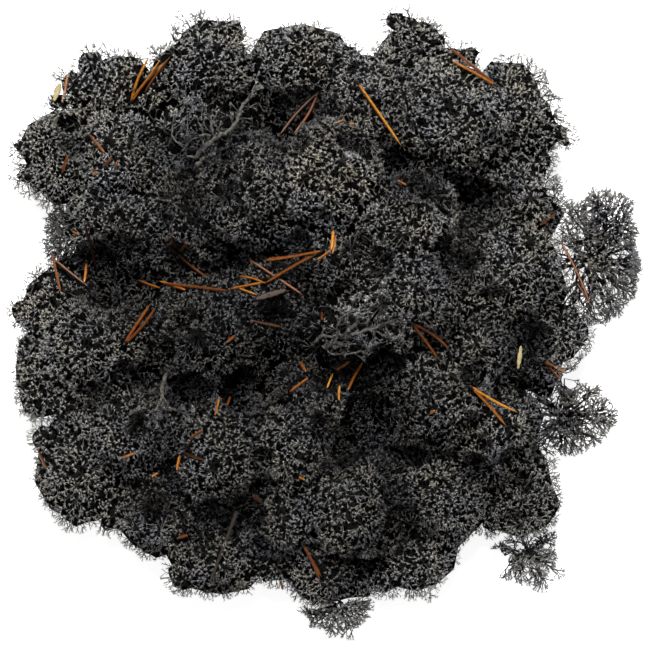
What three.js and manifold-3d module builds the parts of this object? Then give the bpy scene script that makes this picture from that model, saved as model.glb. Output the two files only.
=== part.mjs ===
// A clump of dyed reindeer lichen (Cladonia stellaris) with the pine litter caught in it.
//
// The clump is a low mound of about fifty lichen tufts pressed together at the foot. Each tuft is a
// column of old stems under a dome, and forked branchlets stand out of the dome all over. Dry pine
// needles, mostly in pairs that share a sheath, and one twig lie on the branchlets.
// Millimetres, +Z up. The origin is the middle of the clump's outline, on the surface it lies on.

import * as THREE from "three";
import { mergeVertices } from "three/addons/utils/BufferGeometryUtils.js";
import Module from "manifold-3d";

const wasm = await Module();
wasm.setup();

// ---------------------------------------------------------------- driving dimensions

const GAP = 0.3; // free space between neighbouring pieces
const REACH = 9; // how far branchlets stand out of a tuft's core
const AIRY_REACH = 12; // the same on the thin, see-through tufts
const UPRIGHT = 0.45; // weight of height when neighbours share the space: low values give upright borders
const INNER_RADIUS = 138; // inside this the tufts' feet leave no room between them
const PRESSED_INNER = 3; // a neighbour nearer than this many tuft radii is touched below the dome
const PRESSED_RIM = 1.15; // the same on the rim
const SIDES = 8; // sides of a tuft's core
const UNEVEN = 0.5; // how far corners stray from their even places, as a share of their spacing
const FORKED_AREA = 100; // a facet of the core larger than this carries a forked branchlet, mm2
const NEEDLE_WIDTH = 1.5;
const NEEDLE_THICKNESS = 1;
const TWIG_WIDTH = 2;
const HELD = 3; // volume of tips in the way that stops litter from sinking deeper, mm3
const DEEPEST = 14; // how far litter may sink below the domes' own height
const STEEPEST = 0.8; // rise over run of the steepest litter

// One row for each tuft: centre of its dome in plan, the height of its top, and its half-widths.
const TUFTS = [
  // the crown, which stands highest
  { name: "tuft_crown_north", at: [3, 83], top: 118, half: [26, 31] },
  { name: "tuft_crown_west", at: [-42, 76], top: 108, half: [27, 30] },
  { name: "tuft_crown_east", at: [43, 56], top: 112, half: [31, 24] },
  { name: "tuft_crown_south", at: [46, 21], top: 114, half: [27, 27] },
  { name: "tuft_crown_saddle", at: [5, 40], top: 97, half: [22, 21] },
  { name: "tuft_open_middle", at: [13, -3], top: 86, half: [26, 20] },
  { name: "tuft_needle_hollow", at: [-28, 18], top: 80, half: [25, 24] },
  // the shoulders
  { name: "tuft_north_west_dome", at: [-68, 149], top: 82, half: [27, 26] },
  { name: "tuft_open_north_west", at: [-67, 112], top: 72, half: [30, 20] },
  { name: "tuft_west_upper", at: [-118, 97], top: 78, half: [21, 27] },
  { name: "tuft_west_shoulder", at: [-118, 58], top: 70, half: [27, 22] },
  { name: "tuft_west_inner", at: [-78, 62], top: 78, half: [23, 27] },
  { name: "tuft_middle_west", at: [-67, -3], top: 80, half: [31, 27] },
  { name: "tuft_west_dome", at: [-131, -12], top: 84, half: [27, 31] },
  { name: "tuft_south_west_shoulder", at: [-113, -59], top: 76, half: [28, 26] },
  { name: "tuft_south_inner_west", at: [-57, -74], top: 78, half: [23, 32] },
  { name: "tuft_south_inner", at: [-17, -69], top: 86, half: [21, 20] },
  { name: "tuft_middle_south", at: [2, -42], top: 76, half: [26, 19] },
  { name: "tuft_south_dome", at: [16, -103], top: 86, half: [27, 28] },
  { name: "tuft_south_fold", at: [-24, -109], top: 72, half: [19, 20] },
  { name: "tuft_east_inner", at: [64, -40], top: 90, half: [31, 28] },
  { name: "tuft_north_east_dome", at: [71, 119], top: 92, half: [30, 33] },
  { name: "tuft_north_inner", at: [25, 127], top: 82, half: [24, 27] },
  { name: "tuft_east_shoulder", at: [101, 31], top: 84, half: [32, 31] },
  { name: "tuft_east_middle", at: [88, -13], top: 80, half: [28, 20] },
  { name: "tuft_south_east_shoulder", at: [67, -97], top: 70, half: [28, 24] },
  { name: "tuft_south_east_inner", at: [97, -62], top: 74, half: [23, 23] },
  // the rim, which lies on the surface
  { name: "tuft_rim_north_west", at: [-120, 133], top: 60, half: [23, 23] },
  { name: "tuft_rim_west_north", at: [-154, 96], top: 56, half: [21, 29] },
  { name: "tuft_rim_west_notch", at: [-142, 50], top: 46, half: [19, 19], airy: true },
  { name: "tuft_rim_west_upper", at: [-153, 15], top: 52, half: [20, 22] },
  { name: "tuft_rim_west", at: [-160, -27], top: 52, half: [16, 30] },
  { name: "tuft_rim_south_west", at: [-141, -80], top: 58, half: [24, 35] },
  { name: "tuft_rim_south_west_low", at: [-98, -106], top: 58, half: [22, 26] },
  { name: "tuft_rim_south_left", at: [-60, -133], top: 54, half: [33, 21], airy: true },
  { name: "tuft_rim_south", at: [0, -140], top: 52, half: [26, 18] },
  { name: "tuft_rim_south_tip", at: [8, -162], top: 30, half: [19, 15], airy: true },
  { name: "tuft_rim_south_right", at: [53, -133], top: 56, half: [23, 22] },
  { name: "tuft_rim_sprig", at: [115, -132], top: 24, half: [17, 18], airy: true },
  { name: "tuft_rim_south_east", at: [114, -98], top: 52, half: [20, 27] },
  { name: "tuft_rim_east_low", at: [140, -53], top: 48, half: [23, 19], airy: true },
  { name: "tuft_rim_east", at: [129, -11], top: 62, half: [22, 23] },
  { name: "tuft_rim_east_lobe", at: [154, 37], top: 54, half: [23, 37], airy: true },
  { name: "tuft_rim_east_notch", at: [112, 75], top: 64, half: [25, 22] },
  { name: "tuft_rim_north_east", at: [111, 124], top: 64, half: [29, 31] },
  { name: "tuft_rim_north_right", at: [52, 157], top: 52, half: [21, 20] },
  { name: "tuft_rim_north", at: [-14, 148], top: 64, half: [34, 23] },
];

// Old stems that lie bare on the open tufts: root, bend and end in plan and height, then thickness.
const BARE_STEMS = {
  tuft_open_middle: [
    { route: [[-7, -13, 74], [8, -8, 83], [22, 3, 88]], thick: 3.0 },
    { route: [[-7, -13, 74], [10, -14, 83], [28, -10, 86]], thick: 2.6 },
    { route: [[2, -9, 79], [8, 2, 84], [10, 12, 86]], thick: 2.2 },
  ],
  tuft_open_north_west: [
    { route: [[-76, 96, 60], [-62, 106, 70], [-49, 118, 73]], thick: 3.4 },
    { route: [[-62, 106, 69], [-72, 110, 74], [-84, 109, 74]], thick: 2.4 },
    { route: [[-70, 100, 65], [-58, 101, 71], [-48, 104, 72]], thick: 2.6 },
  ],
};

// Pine litter: the sheath end first, then the far end of each needle in plan, and its upward bow.
const LITTER = [
  { name: "needles_north", sheath: [-4, 132], ends: [[-26, 107], [-18, 108]], bow: 2 },
  { name: "needles_north_long", sheath: [17, 136], ends: [[43, 100]], bow: 1 },
  { name: "needles_north_east", sheath: [97, 134], ends: [[68, 157], [71, 148]], bow: 3 },
  { name: "needles_east_lobe", sheath: [151, 10], ends: [[133, 49]], bow: 1 },
  { name: "needles_east", sheath: [81, -34], ends: [[108, -49], [102, -57]], bow: 1 },
  { name: "needles_middle_east", sheath: [48, 1], ends: [[64, -20], [70, -14]], bow: 0 },
  { name: "needles_south", sheath: [-13, -123], ends: [[-2, -143]], bow: 1 },
  { name: "needles_north_west", sheath: [-110, 126], ends: [[-99, 150], [-88, 149]], bow: 1 },
  { name: "needles_west_notch", sheath: [-135, 22], ends: [[-155, 38]], bow: 1 },
  { name: "needles_west", sheath: [-113, -11], ends: [[-99, 12], [-96, 10]], bow: 1 },
  { name: "needles_middle_west", sheath: [-53, 19], ends: [[-93, 24]], bow: -1 },
  { name: "needles_middle", sheath: [-2, 41], ends: [[-34, 36], [-34, 23]], bow: 2 },
  { name: "twig_south_west", sheath: [-50, -106], ends: [[-65, -146]], bow: 1, twig: true },
];

// ---------------------------------------------------------------- small tools

// Random numbers that are the same in every build.
function seeded(seed) {
  let state = seed >>> 0;
  return () => {
    state = (state + 0x6d2b79f5) >>> 0;
    let t = Math.imul(state ^ (state >>> 15), 1 | state);
    t = (t + Math.imul(t ^ (t >>> 7), 61 | t)) ^ t;
    return ((t ^ (t >>> 14)) >>> 0) / 4294967296;
  };
}

function solidOf(geometry) {
  const bare = new THREE.BufferGeometry().setAttribute("position", geometry.getAttribute("position"));
  bare.setIndex(geometry.index);
  const merged = mergeVertices(bare, 1e-4);
  return new wasm.Manifold(
    new wasm.Mesh({
      numProp: 3,
      vertProperties: new Float32Array(merged.attributes.position.array),
      triVerts: new Uint32Array(merged.index.array),
    }),
  );
}

function geometryOf(solid) {
  const made = solid.getMesh();
  const positions = new Float32Array(made.numVert * 3);
  for (let i = 0; i < made.numVert; i++) {
    positions.set(made.vertProperties.subarray(i * made.numProp, i * made.numProp + 3), i * 3);
  }
  const geometry = new THREE.BufferGeometry();
  geometry.setAttribute("position", new THREE.BufferAttribute(positions, 3));
  geometry.setIndex(new THREE.BufferAttribute(new Uint32Array(made.triVerts), 1));
  geometry.computeVertexNormals();
  return geometry;
}

function closedGeometry(points, faces) {
  const geometry = new THREE.BufferGeometry().setFromPoints(points);
  geometry.setIndex(faces.flat());
  return geometry;
}

const largestOf = (solid) =>
  solid.decompose().reduce((best, body) => (body.volume() > best.volume() ? body : best));

// A closed tube along a curve. widthAt gives its width across the flats at a share of the length,
// flatness is its height over its width, and it runs past the curve's ends by overhang.
function taperedTube(curve, steps, widthAt, sides, flatness = 1, overhang = 0) {
  const up = new THREE.Vector3(0, 0, 1);
  const points = [];
  for (let i = 0; i <= steps; i++) {
    const centre = curve.getPointAt(i / steps);
    const ahead = curve.getTangentAt(i / steps);
    const across = ahead.clone().cross(up).normalize();
    const above = across.clone().cross(ahead);
    if (i === 0) centre.addScaledVector(ahead, -overhang);
    if (i === steps) centre.addScaledVector(ahead, overhang);
    const radius = widthAt(i / steps) / 2 / Math.cos(Math.PI / sides);
    for (let s = 0; s < sides; s++) {
      const turn = (2 * Math.PI * (s + 0.5)) / sides;
      points.push(
        centre
          .clone()
          .addScaledVector(across, Math.cos(turn) * radius)
          .addScaledVector(above, Math.sin(turn) * radius * flatness),
      );
    }
  }
  const faces = [];
  for (let i = 0; i < steps; i++) {
    for (let s = 0; s < sides; s++) {
      const a = i * sides + s;
      const b = i * sides + ((s + 1) % sides);
      faces.push([a, b + sides, b], [a, a + sides, b + sides]);
    }
  }
  const last = steps * sides;
  for (let s = 1; s < sides - 1; s++) {
    faces.push([0, s, s + 1], [last, last + s + 1, last + s]);
  }
  return closedGeometry(points, faces);
}

// ---------------------------------------------------------------- how the tufts share the space

for (const tuft of TUFTS) {
  tuft.size = (tuft.half[0] + tuft.half[1]) / 2;
  tuft.rise = Math.min(0.98 * tuft.size, 0.62 * tuft.top); // dome centre to dome top
  tuft.centre = new THREE.Vector3(tuft.at[0], tuft.at[1], tuft.top - tuft.rise);
  tuft.reach = tuft.airy ? AIRY_REACH : REACH;
}

const squashedLength2 = (p) => p.x ** 2 + p.y ** 2 + (UPRIGHT * p.z) ** 2;

// The flat borders of a tuft's own space. A point with a negative distance to all of them is in it.
function bordersOf(tuft) {
  const floor = new THREE.Plane(new THREE.Vector3(0, 0, -1), 0);
  const shared = TUFTS.filter((other) => other !== tuft).map((other) => {
    const normal = other.centre.clone().sub(tuft.centre);
    normal.z *= UPRIGHT ** 2;
    const far = squashedLength2(other.centre) - other.size ** 2;
    const near = squashedLength2(tuft.centre) - tuft.size ** 2;
    return new THREE.Plane(normal, (near - far) / 2).normalize();
  });
  return [floor, ...shared];
}

for (const tuft of TUFTS) tuft.borders = bordersOf(tuft);

// Free length from a point along a direction before the tuft meets half a gap short of a border.
function roomAlong(tuft, from, direction) {
  let room = Infinity;
  for (const border of tuft.borders) {
    const closing = border.normal.dot(direction);
    if (closing > 1e-6) room = Math.min(room, (-border.distanceToPoint(from) - GAP / 2) / closing);
  }
  return room;
}

// Half-width of a tuft's outline in a direction in plan.
const halfWidthAt = (tuft, turn) =>
  1 / Math.hypot(Math.cos(turn) / tuft.half[0], Math.sin(turn) / tuft.half[1]);

// Height of the branchlets' tips over a point in plan: the highest dome there.
function domeHeight(x, y) {
  const heights = TUFTS.map((tuft) => {
    const share = ((x - tuft.at[0]) / tuft.half[0]) ** 2 + ((y - tuft.at[1]) / tuft.half[1]) ** 2;
    return share < 1 ? tuft.centre.z + tuft.rise * Math.sqrt(1 - share) : tuft.centre.z * (2 - share);
  });
  return Math.max(0, ...heights);
}

// ---------------------------------------------------------------- pine litter

const SHARES = Array.from({ length: 17 }, (_, i) => i / 16);

// A stiff needle rests on two high points with its middle between them, and is not steeper than
// STEEPEST. Gives its height along it.
function restingLine(heights, length) {
  let best = { middle: -Infinity };
  for (const [i, low] of SHARES.entries()) {
    for (const [j, high] of SHARES.entries()) {
      if (low > 0.45 || high < 0.55) continue;
      const rise = (heights[j] - heights[i]) / (high - low);
      const middle = heights[i] + rise * (0.5 - low);
      if (middle > best.middle) best = { middle, rise };
    }
  }
  const rise = THREE.MathUtils.clamp(best.rise, -STEEPEST * length, STEEPEST * length);
  const lift = Math.max(...heights.map((height, i) => height - rise * (SHARES[i] - 0.5)));
  return (share) => lift + rise * (share - 0.5);
}

// Needles that share a sheath lie at one slope.
function litterCurves(item) {
  const along = (end, share) => [0, 1].map((k) => THREE.MathUtils.lerp(item.sheath[k], end[k], share));
  const routes = item.ends.map((end) => SHARES.map((share) => along(end, share)));
  const heights = SHARES.map((_, i) => Math.max(...routes.map((route) => domeHeight(...route[i]))));
  const [end] = item.ends;
  const heightAt = restingLine(heights, Math.hypot(end[0] - item.sheath[0], end[1] - item.sheath[1]));
  return routes.map((route) => {
    const points = [0, 8, 16].map((i) => {
      const bow = 4 * item.bow * SHARES[i] * (1 - SHARES[i]);
      return new THREE.Vector3(...route[i], heightAt(SHARES[i]) + bow);
    });
    return new THREE.CatmullRomCurve3(points);
  });
}

for (const item of LITTER) {
  const width = item.twig ? TWIG_WIDTH : NEEDLE_WIDTH;
  const flatness = item.twig ? 1 : NEEDLE_THICKNESS / NEEDLE_WIDTH;
  const widthAt = (share) => width * (share > 0.9 ? 0.4 : 1);
  const sleeveWidthAt = (share) => widthAt(share) + 2 * GAP + 0.1;
  const curves = litterCurves(item);
  const tubes = (...sizes) =>
    curves.map((curve) => solidOf(taperedTube(curve, 2, ...sizes))).reduce((a, b) => a.add(b));
  item.solid = tubes(widthAt, 4, flatness);
  item.sleeve = tubes(sleeveWidthAt, 4, 1, GAP);
}

// ---------------------------------------------------------------- tufts

// The core's corners, in rings from its foot to just below its top. The core is a column of old
// stems, pressed against its neighbours, under a dome. It is lower than the tips by their reach.
function coreRings(tuft, random) {
  const radius = tuft.size - tuft.reach * 0.85;
  const rise = tuft.rise - tuft.reach * 0.8;
  const middle = tuft.centre.z;
  const low = Math.min(0.5 * middle, middle - 6);
  const onDome = [0, 26, 50, 71].map((degrees) => {
    const climb = THREE.MathUtils.degToRad(degrees);
    return [Math.cos(climb), middle + rise * Math.sin(climb)];
  });
  const phases = [random(), random(), random()].map((r) => r * 2 * Math.PI);
  return [[0.62, 0], [0.95, low], ...onDome].map(([share, height], row) => {
    return Array.from({ length: SIDES }, (_, side) => {
      const stray = row < 2 ? 0 : UNEVEN * (random() - 0.5);
      const turn = phases[0] + (2 * Math.PI * (side + (row % 2) / 2 + stray)) / SIDES;
      const outward = new THREE.Vector3(Math.cos(turn), Math.sin(turn), 0);
      const axis = new THREE.Vector3(...tuft.at, height);
      if (row > 1) axis.z += 0.3 * UNEVEN * rise * (random() - 0.5);
      const half = halfWidthAt(tuft, turn);
      const oval = 0.07 * Math.sin(2 * turn + phases[1]);
      const lumps = 0.06 * Math.sin(3 * turn + phases[2] + height / 9);
      const free = share * radius * (half / tuft.size) * (1 + oval + lumps);
      const room = roomAlong(tuft, axis, outward);
      const border = axis.clone().addScaledVector(outward, room);
      const near = Math.hypot(border.x, border.y) < INNER_RADIUS ? PRESSED_INNER : PRESSED_RIM;
      const pressed = row < 2 && room < near * half;
      return axis.addScaledVector(outward, Math.max(1.5, pressed ? room : Math.min(free, room)));
    });
  });
}

// The tuft's surface: the facets of its core, each drawn out into a pointed branchlet, or into one
// that forks into three tips where the facet is large. Tips point away from the dome's centre, and
// end where the tuft's own space ends.
function tuftGeometry(tuft, random) {
  const rings = coreRings(tuft, random);
  const points = rings.flat();
  const top = new THREE.Vector3(...tuft.at, tuft.top - 0.4 * tuft.reach);
  const foot = new THREE.Vector3(...tuft.at, 0);
  const [topIndex, footIndex] = [points.push(top) - 1, points.push(foot) - 1];
  const faces = [];

  const drawnOut = (corners, weights, length) => {
    const tip = new THREE.Vector3();
    corners.forEach((corner, k) => tip.addScaledVector(points[corner], weights[k]));
    const outward = tip.clone().sub(tuft.centre).normalize();
    tip.addScaledVector(outward, Math.min(length, Math.max(0, roomAlong(tuft, tip, outward))));
    return points.push(tip) - 1;
  };
  const spike = (corners, length) => {
    const weights = [0, 1, 2].map(() => 1 + 2 * UNEVEN * random());
    const whole = weights[0] + weights[1] + weights[2];
    const tip = drawnOut(corners, weights.map((weight) => weight / whole), length);
    for (const k of [0, 1, 2]) faces.push([corners[k], corners[(k + 1) % 3], tip]);
  };
  const facet = new THREE.Triangle();
  const branchlet = (corners) => {
    facet.setFromPointsAndIndices(points, ...corners);
    const outward = facet.getMidpoint(new THREE.Vector3()).sub(tuft.centre).normalize();
    const length = () => tuft.reach * (0.75 + 0.4 * random());
    if (roomAlong(tuft, facet.getMidpoint(new THREE.Vector3()), outward) < 0.25 * tuft.reach) {
      faces.push(corners);
    } else if (facet.getArea() > FORKED_AREA) {
      const waist = drawnOut(corners, [1 / 3, 1 / 3, 1 / 3], 0.25 * tuft.reach);
      for (const k of [0, 1, 2]) spike([corners[k], corners[(k + 1) % 3], waist], length());
    } else {
      spike(corners, length());
    }
  };

  for (let row = 0; row + 1 < rings.length; row++) {
    for (let side = 0; side < SIDES; side++) {
      const next = (side + 1) % SIDES;
      const [below, above] = [row * SIDES, (row + 1) * SIDES];
      const facets = row % 2
        ? [[below + side, below + next, above + next], [below + side, above + next, above + side]]
        : [[below + side, below + next, above + side], [below + next, above + next, above + side]];
      for (const corners of facets) row ? branchlet(corners) : faces.push(corners);
    }
  }
  const last = (rings.length - 1) * SIDES;
  for (let side = 0; side < SIDES; side++) {
    const next = (side + 1) % SIDES;
    branchlet([last + side, last + next, topIndex]);
    faces.push([next, side, footIndex]);
  }
  return closedGeometry(points, faces);
}

function bareStemsOf(tuft) {
  return (BARE_STEMS[tuft.name] ?? []).map((stem) => {
    const curve = new THREE.CatmullRomCurve3(stem.route.map((p) => new THREE.Vector3(...p)));
    return solidOf(taperedTube(curve, 4, (share) => stem.thick * (1 - 0.5 * share), 4));
  });
}

function tuftSolid(tuft, index) {
  const domed = solidOf(tuftGeometry(tuft, seeded(101 + index)));
  return bareStemsOf(tuft).reduce((solid, stem) => solid.add(stem), domed);
}

// Litter sinks until the tips hold it, and leaves grooves that are a little wider than itself.
function settle(item) {
  const heldBy = () => TUFTS.reduce((sum, tuft) => sum + tuft.solid.intersect(item.solid).volume(), 0);
  for (let drop = 0; heldBy() < HELD && drop < DEEPEST; drop += 0.5) {
    item.solid = item.solid.translate(0, 0, -0.5);
    item.sleeve = item.sleeve.translate(0, 0, -0.5);
  }
}

TUFTS.forEach((tuft, index) => (tuft.solid = tuftSolid(tuft, index)));
LITTER.forEach(settle);
for (const tuft of TUFTS) {
  for (const item of LITTER) {
    if (tuft.solid.intersect(item.sleeve).volume() > 0) tuft.solid = tuft.solid.subtract(item.sleeve);
  }
  tuft.solid = largestOf(tuft.solid);
}

// ---------------------------------------------------------------- the clump

const lichen = () =>
  new THREE.MeshStandardMaterial({ color: 0x2c2d2f, roughness: 0.8, metalness: 0, flatShading: true });
const dryNeedle = () => new THREE.MeshStandardMaterial({ color: 0xb5622a, roughness: 0.5, metalness: 0 });
const bark = () => new THREE.MeshStandardMaterial({ color: 0x6b5647, roughness: 0.8, metalness: 0 });

const clump = new THREE.Group();

for (const piece of [...TUFTS, ...LITTER]) {
  const material = TUFTS.includes(piece) ? lichen() : piece.twig ? bark() : dryNeedle();
  const mesh = new THREE.Mesh(geometryOf(piece.solid), material);
  mesh.name = piece.name;
  clump.add(mesh);
}

const outline = new THREE.Box3().setFromObject(clump);
const middle = outline.getCenter(new THREE.Vector3());
clump.position.set(-middle.x, -middle.y, -outline.min.z);

export default clump;
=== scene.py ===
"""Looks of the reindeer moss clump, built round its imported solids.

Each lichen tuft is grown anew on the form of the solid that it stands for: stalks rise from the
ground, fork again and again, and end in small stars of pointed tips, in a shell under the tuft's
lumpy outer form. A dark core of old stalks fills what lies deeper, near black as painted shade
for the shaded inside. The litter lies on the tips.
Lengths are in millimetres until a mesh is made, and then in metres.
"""

import bmesh
import bpy
import functools
import math
import numpy as np
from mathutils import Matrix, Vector
from mathutils.bvhtree import BVHTree


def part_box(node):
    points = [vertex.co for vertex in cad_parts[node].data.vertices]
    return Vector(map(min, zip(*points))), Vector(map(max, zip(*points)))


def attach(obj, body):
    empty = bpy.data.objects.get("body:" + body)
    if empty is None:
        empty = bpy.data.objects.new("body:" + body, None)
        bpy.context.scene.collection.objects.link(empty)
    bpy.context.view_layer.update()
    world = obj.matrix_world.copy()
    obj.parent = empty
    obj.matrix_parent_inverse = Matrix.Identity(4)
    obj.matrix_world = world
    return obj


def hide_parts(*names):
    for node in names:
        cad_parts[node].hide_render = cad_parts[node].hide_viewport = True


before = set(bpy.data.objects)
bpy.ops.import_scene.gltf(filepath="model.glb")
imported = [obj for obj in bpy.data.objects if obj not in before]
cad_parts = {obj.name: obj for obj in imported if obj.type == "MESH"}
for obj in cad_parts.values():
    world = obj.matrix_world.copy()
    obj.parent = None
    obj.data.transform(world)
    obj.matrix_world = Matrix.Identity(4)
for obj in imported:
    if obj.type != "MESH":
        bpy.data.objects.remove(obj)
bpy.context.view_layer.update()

MM = 0.001
FAR = 1e9
GOLDEN_ANGLE = math.pi * (3 - math.sqrt(5))
# Smooth random values: how many waves, how their lengths vary, and the height to divide by
WAVES = 6
WAVE_STRAY = (0.7, 1.3)
WAVE_HEIGHT = 2.4

# The camera's view: its middle, the size of its pixels at the focus height, and its own height
VIEW_PIXELS = 650
PIXEL = 0.56
VIEW_MIDDLE = (-0.69, 0.23)
FOCUS_HEIGHT = 70
CAMERA_HEIGHT = 2100
SENSOR = 36
VIEW_END = 20

# The studio, in metres and watts
FLOOR_REACH = 3.0
FLOOR_GLOW = 0.85
WORLD_STRENGTH = 0.33
LIGHT_PLACE = (-0.12, 1.05, 1.95)
LIGHT_SIZE = 0.5
LIGHT_POWER = 162

# The stars: an uneven lattice in a shell under the outer form
STAR_SPACING = 2.05
STARS_IN_ALL = 37000
LOWEST_STAR = 1.2
SHELL_START = 0.4
SHELL_DEPTH = 2.4
SHELL_WAVES = ((0.6, 4.5), (0.5, 2.6))
NEAR_TUFT = 110
STAR_AGE = 0.08
TIPS = 4
TIP_LENGTH = (1.0, 1.9)
TIP_SPREAD = (0.5, 1.35)
TIP_STRAY = 0.25

# The branches: how many meet in a fork, steps (mm) from each level of forks down to the next and
# how far they stray, and widths (mm) from the stars down
FORKS = 2.8
FORK_STEPS = (1.6, 3.0, 5.5, 10.0)
STEP_CHANCE = (0.8, 1.25)
MOST_OF_THE_WAY = 0.8
STRAY = (0.25, 0.32, 0.17, 0.15)
WIDTHS = (0.41, 0.38, 0.50, 0.85, 1.4, 2.0)
RING_RADIUS = 0.58
LOW_MIDDLE = 0.3
LOWEST_FORK = 1.5
FEET_SPREAD = 0.75
FEET_STRAY = 1.5
LONG_BRANCH = 4
BEND = 0.09
LOWEST_BEND = 1

# The sprays of branches on bare stems and sprigs
SPRAY_BEND = 0.07
LOWEST_SPRAY = 0.8
SPRAY_FORKS = [2, 2, 3]
SPRAY_TURN = 0.5
SPRAY_STEP = (0.62, 0.85)
SPRAY_THINNING = 0.74
STEM_STRAY = 0.38
STEM_KNOTS = 0.14
END_SPRAY_LENGTH = 4.0
# Length and width (mm) of a side spray, and how often it forks
SIDE_SPRAY = (3.4, 0.85, 2)
SPRIG_WIDTHS = (1.2, 1.0, 0.95)

# The outer form of a tuft: its hull, let out at the sides, and the lumps in it
MIDDLE_HEIGHT = 0.45
NORMAL_STEPS = 6
LEAST_FACING = 1e-4
SKIN_INSET = 3
NEIGHBOUR = 130
WALL_INSET = 4
WALL_LOOK = 26
SPREAD = 16.0
RIM_SPREAD = 4.5
SIDE_SLOPE = 0.45
LUMP_PLACES = 500
LOWEST_DIRECTION = -0.55
LOWEST_LUMP = 4
MOST_LUMPS = 60
LUMP_CHANCE = 0.75
LUMP_RADIUS = (6.5, 11.0)
LUMP_RECESS = (-0.5, 3.0)
LUMP_SPACING = 1.3
VALLEY = 3.4
DEEPEST = 30.0

# The dark cores (painted shade inside the tufts), and how far they stay from hollows and rim cuts
CORE_DEPTH = 4.5
CORE_TOP_DEPTH = 12.0
CORE_FLOOR = 6.0
CORE_CLEAR = 6.0
CORE_CUT_CLEAR = 4.5
CORE_ROUNDING = 0.92
CORE_ROUGHNESS = 0.25
CORE_STEP = 3
CORE_STEPS = 12
OLD_AGE = 1.2

# The mat of dead stalks under the tufts, and the low branches over it
MAT_CELL = 8.0
MAT_REACH = 200
MAT_TOP = 10.0
MAT_THICKNESS = 5.0
MAT_STRAY = 2.2
MAT_INSET = 2
LOW_INSET = 1
LOW_TOP = 20.0
LOW_STRAY = 1.5
LOW_WAVES = (5, 22)
LOW_HEART = 12
LOW_LEAN = 0.2

# How deep under the tops of the heads painted shade begins to darken the branches, and over what depth
# it does
TOP_CELL = 4.0
TOP_CELLS = 52
LIGHT_DEPTH = 5.0
DARK_DEPTH = 30.0
# Painted shade over the airy tufts, darker all over
AIRY_DARKNESS = 0.55
# Where the rim begins, in mm from the middle: its branches get less painted shade and some painted
# light
RIM_START = 118.0
RIM_WIDTH = 40.0
RIM_LIGHT = 0.85
RIM_PAINTED_LIGHT = 0.65

# The views that stars are kept for: elevation, number of azimuths, share of stars kept
LOOKS = ((90, 1, 1.0), (60, 6, 0.52), (28, 8, 0.38), (3, 8, 0.48))
LOOK_TURN = 0.3
LOOK_CELL = 3.6
LOOK_LAYER = 3.2
LOOK_ROWS = 1000

# Tufts that light shines through: no dark core, a thicker shell and fewer, coarser branches
AIRY = {
    "tuft_rim_east_lobe", "tuft_rim_east_low", "tuft_rim_south_tip", "tuft_rim_sprig",
    "tuft_rim_west_notch",
}
AIRY_SHARE = 0.66
AIRY_SHELL = 3.2
AIRY_COARSE = 1.3
# Airy tufts seen against the ground, and how far (mm) a neighbour's core may reach into each
SEEN_THROUGH = {
    "tuft_rim_east_lobe": 3, "tuft_rim_east_low": 9, "tuft_rim_south_tip": 8, "tuft_rim_sprig": 5,
}
# Tufts that lie open, with fewer and coarser branches
OPEN = {"tuft_open_north_west", "tuft_open_middle"}
OPEN_COARSE = 1.5
# The materials of a tuft's mesh after the first, which is the living branches'
CORE_KIND = 1
STEM_KIND = 2

# Bulges of the outer form: place in the view (pixels), height and radius (mm)
BULGES = [
    (82, 86, 46, 13), (64, 108, 46, 13), (48, 138, 42, 13), (205, 36, 52, 14), (228, 34, 50, 13),
    (408, 27, 40, 11), (396, 22, 38, 10), (434, 42, 42, 11), (452, 64, 46, 14), (552, 132, 40, 12),
    (612, 222, 44, 18), (600, 206, 40, 12), (620, 262, 44, 12), (598, 415, 28, 12),
    (35, 398, 40, 14), (46, 438, 36, 12), (40, 320, 38, 13), (76, 510, 26, 14), (112, 506, 28, 13),
    (146, 532, 26, 14), (184, 574, 28, 14), (150, 90, 48, 13), (130, 72, 44, 13), (300, 44, 50, 12),
    (384, 66, 46, 13), (275, 566, 30, 14), (385, 578, 26, 13), (52, 180, 38, 12), (40, 280, 34, 10),
    (500, 80, 40, 10), (560, 262, 34, 13), (562, 330, 40, 13), (150, 545, 24, 10),
    (470, 516, 34, 12), (537, 470, 30, 12), (538, 505, 26, 12), (62, 406, 40, 14),
    (222, 576, 28, 12), (412, 574, 30, 13), (340, 618, 16, 9), (352, 606, 18, 9), (25, 312, 30, 12),
    (90, 64, 42, 12), (72, 84, 42, 11), (30, 150, 40, 13), (33, 183, 36, 11), (468, 56, 44, 10),
    (27, 174, 38, 12), (565, 136, 36, 10), (490, 523, 26, 10), (352, 56, 48, 10), (544, 160, 40, 9),
    (580, 332, 34, 10), (488, 512, 30, 11), (110, 522, 24, 10), (208, 582, 24, 11),
]
# Upright cuts at the rim, where the outer form ends: place in the view (pixels) and radius (mm)
RIM_CUTS = [
    (510, 36, 11), (550, 50, 11), (562, 78, 10), (582, 102, 12), (582, 172, 10), (576, 186, 8),
    (652, 214, 12), (648, 306, 9), (593, 371, 9), (570, 380, 6), (500, 564, 8), (574, 482, 8),
    (295, 626, 7), (26, 262, 6), (160, 34, 8),
]
# Lace at the rim, which the ground shows through: place in the view (pixels) and radius (mm)
LACE = [
    (562, 112, 7), (572, 136, 5), (552, 190, 6), (24, 192, 5), (18, 164, 5),
]
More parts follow.
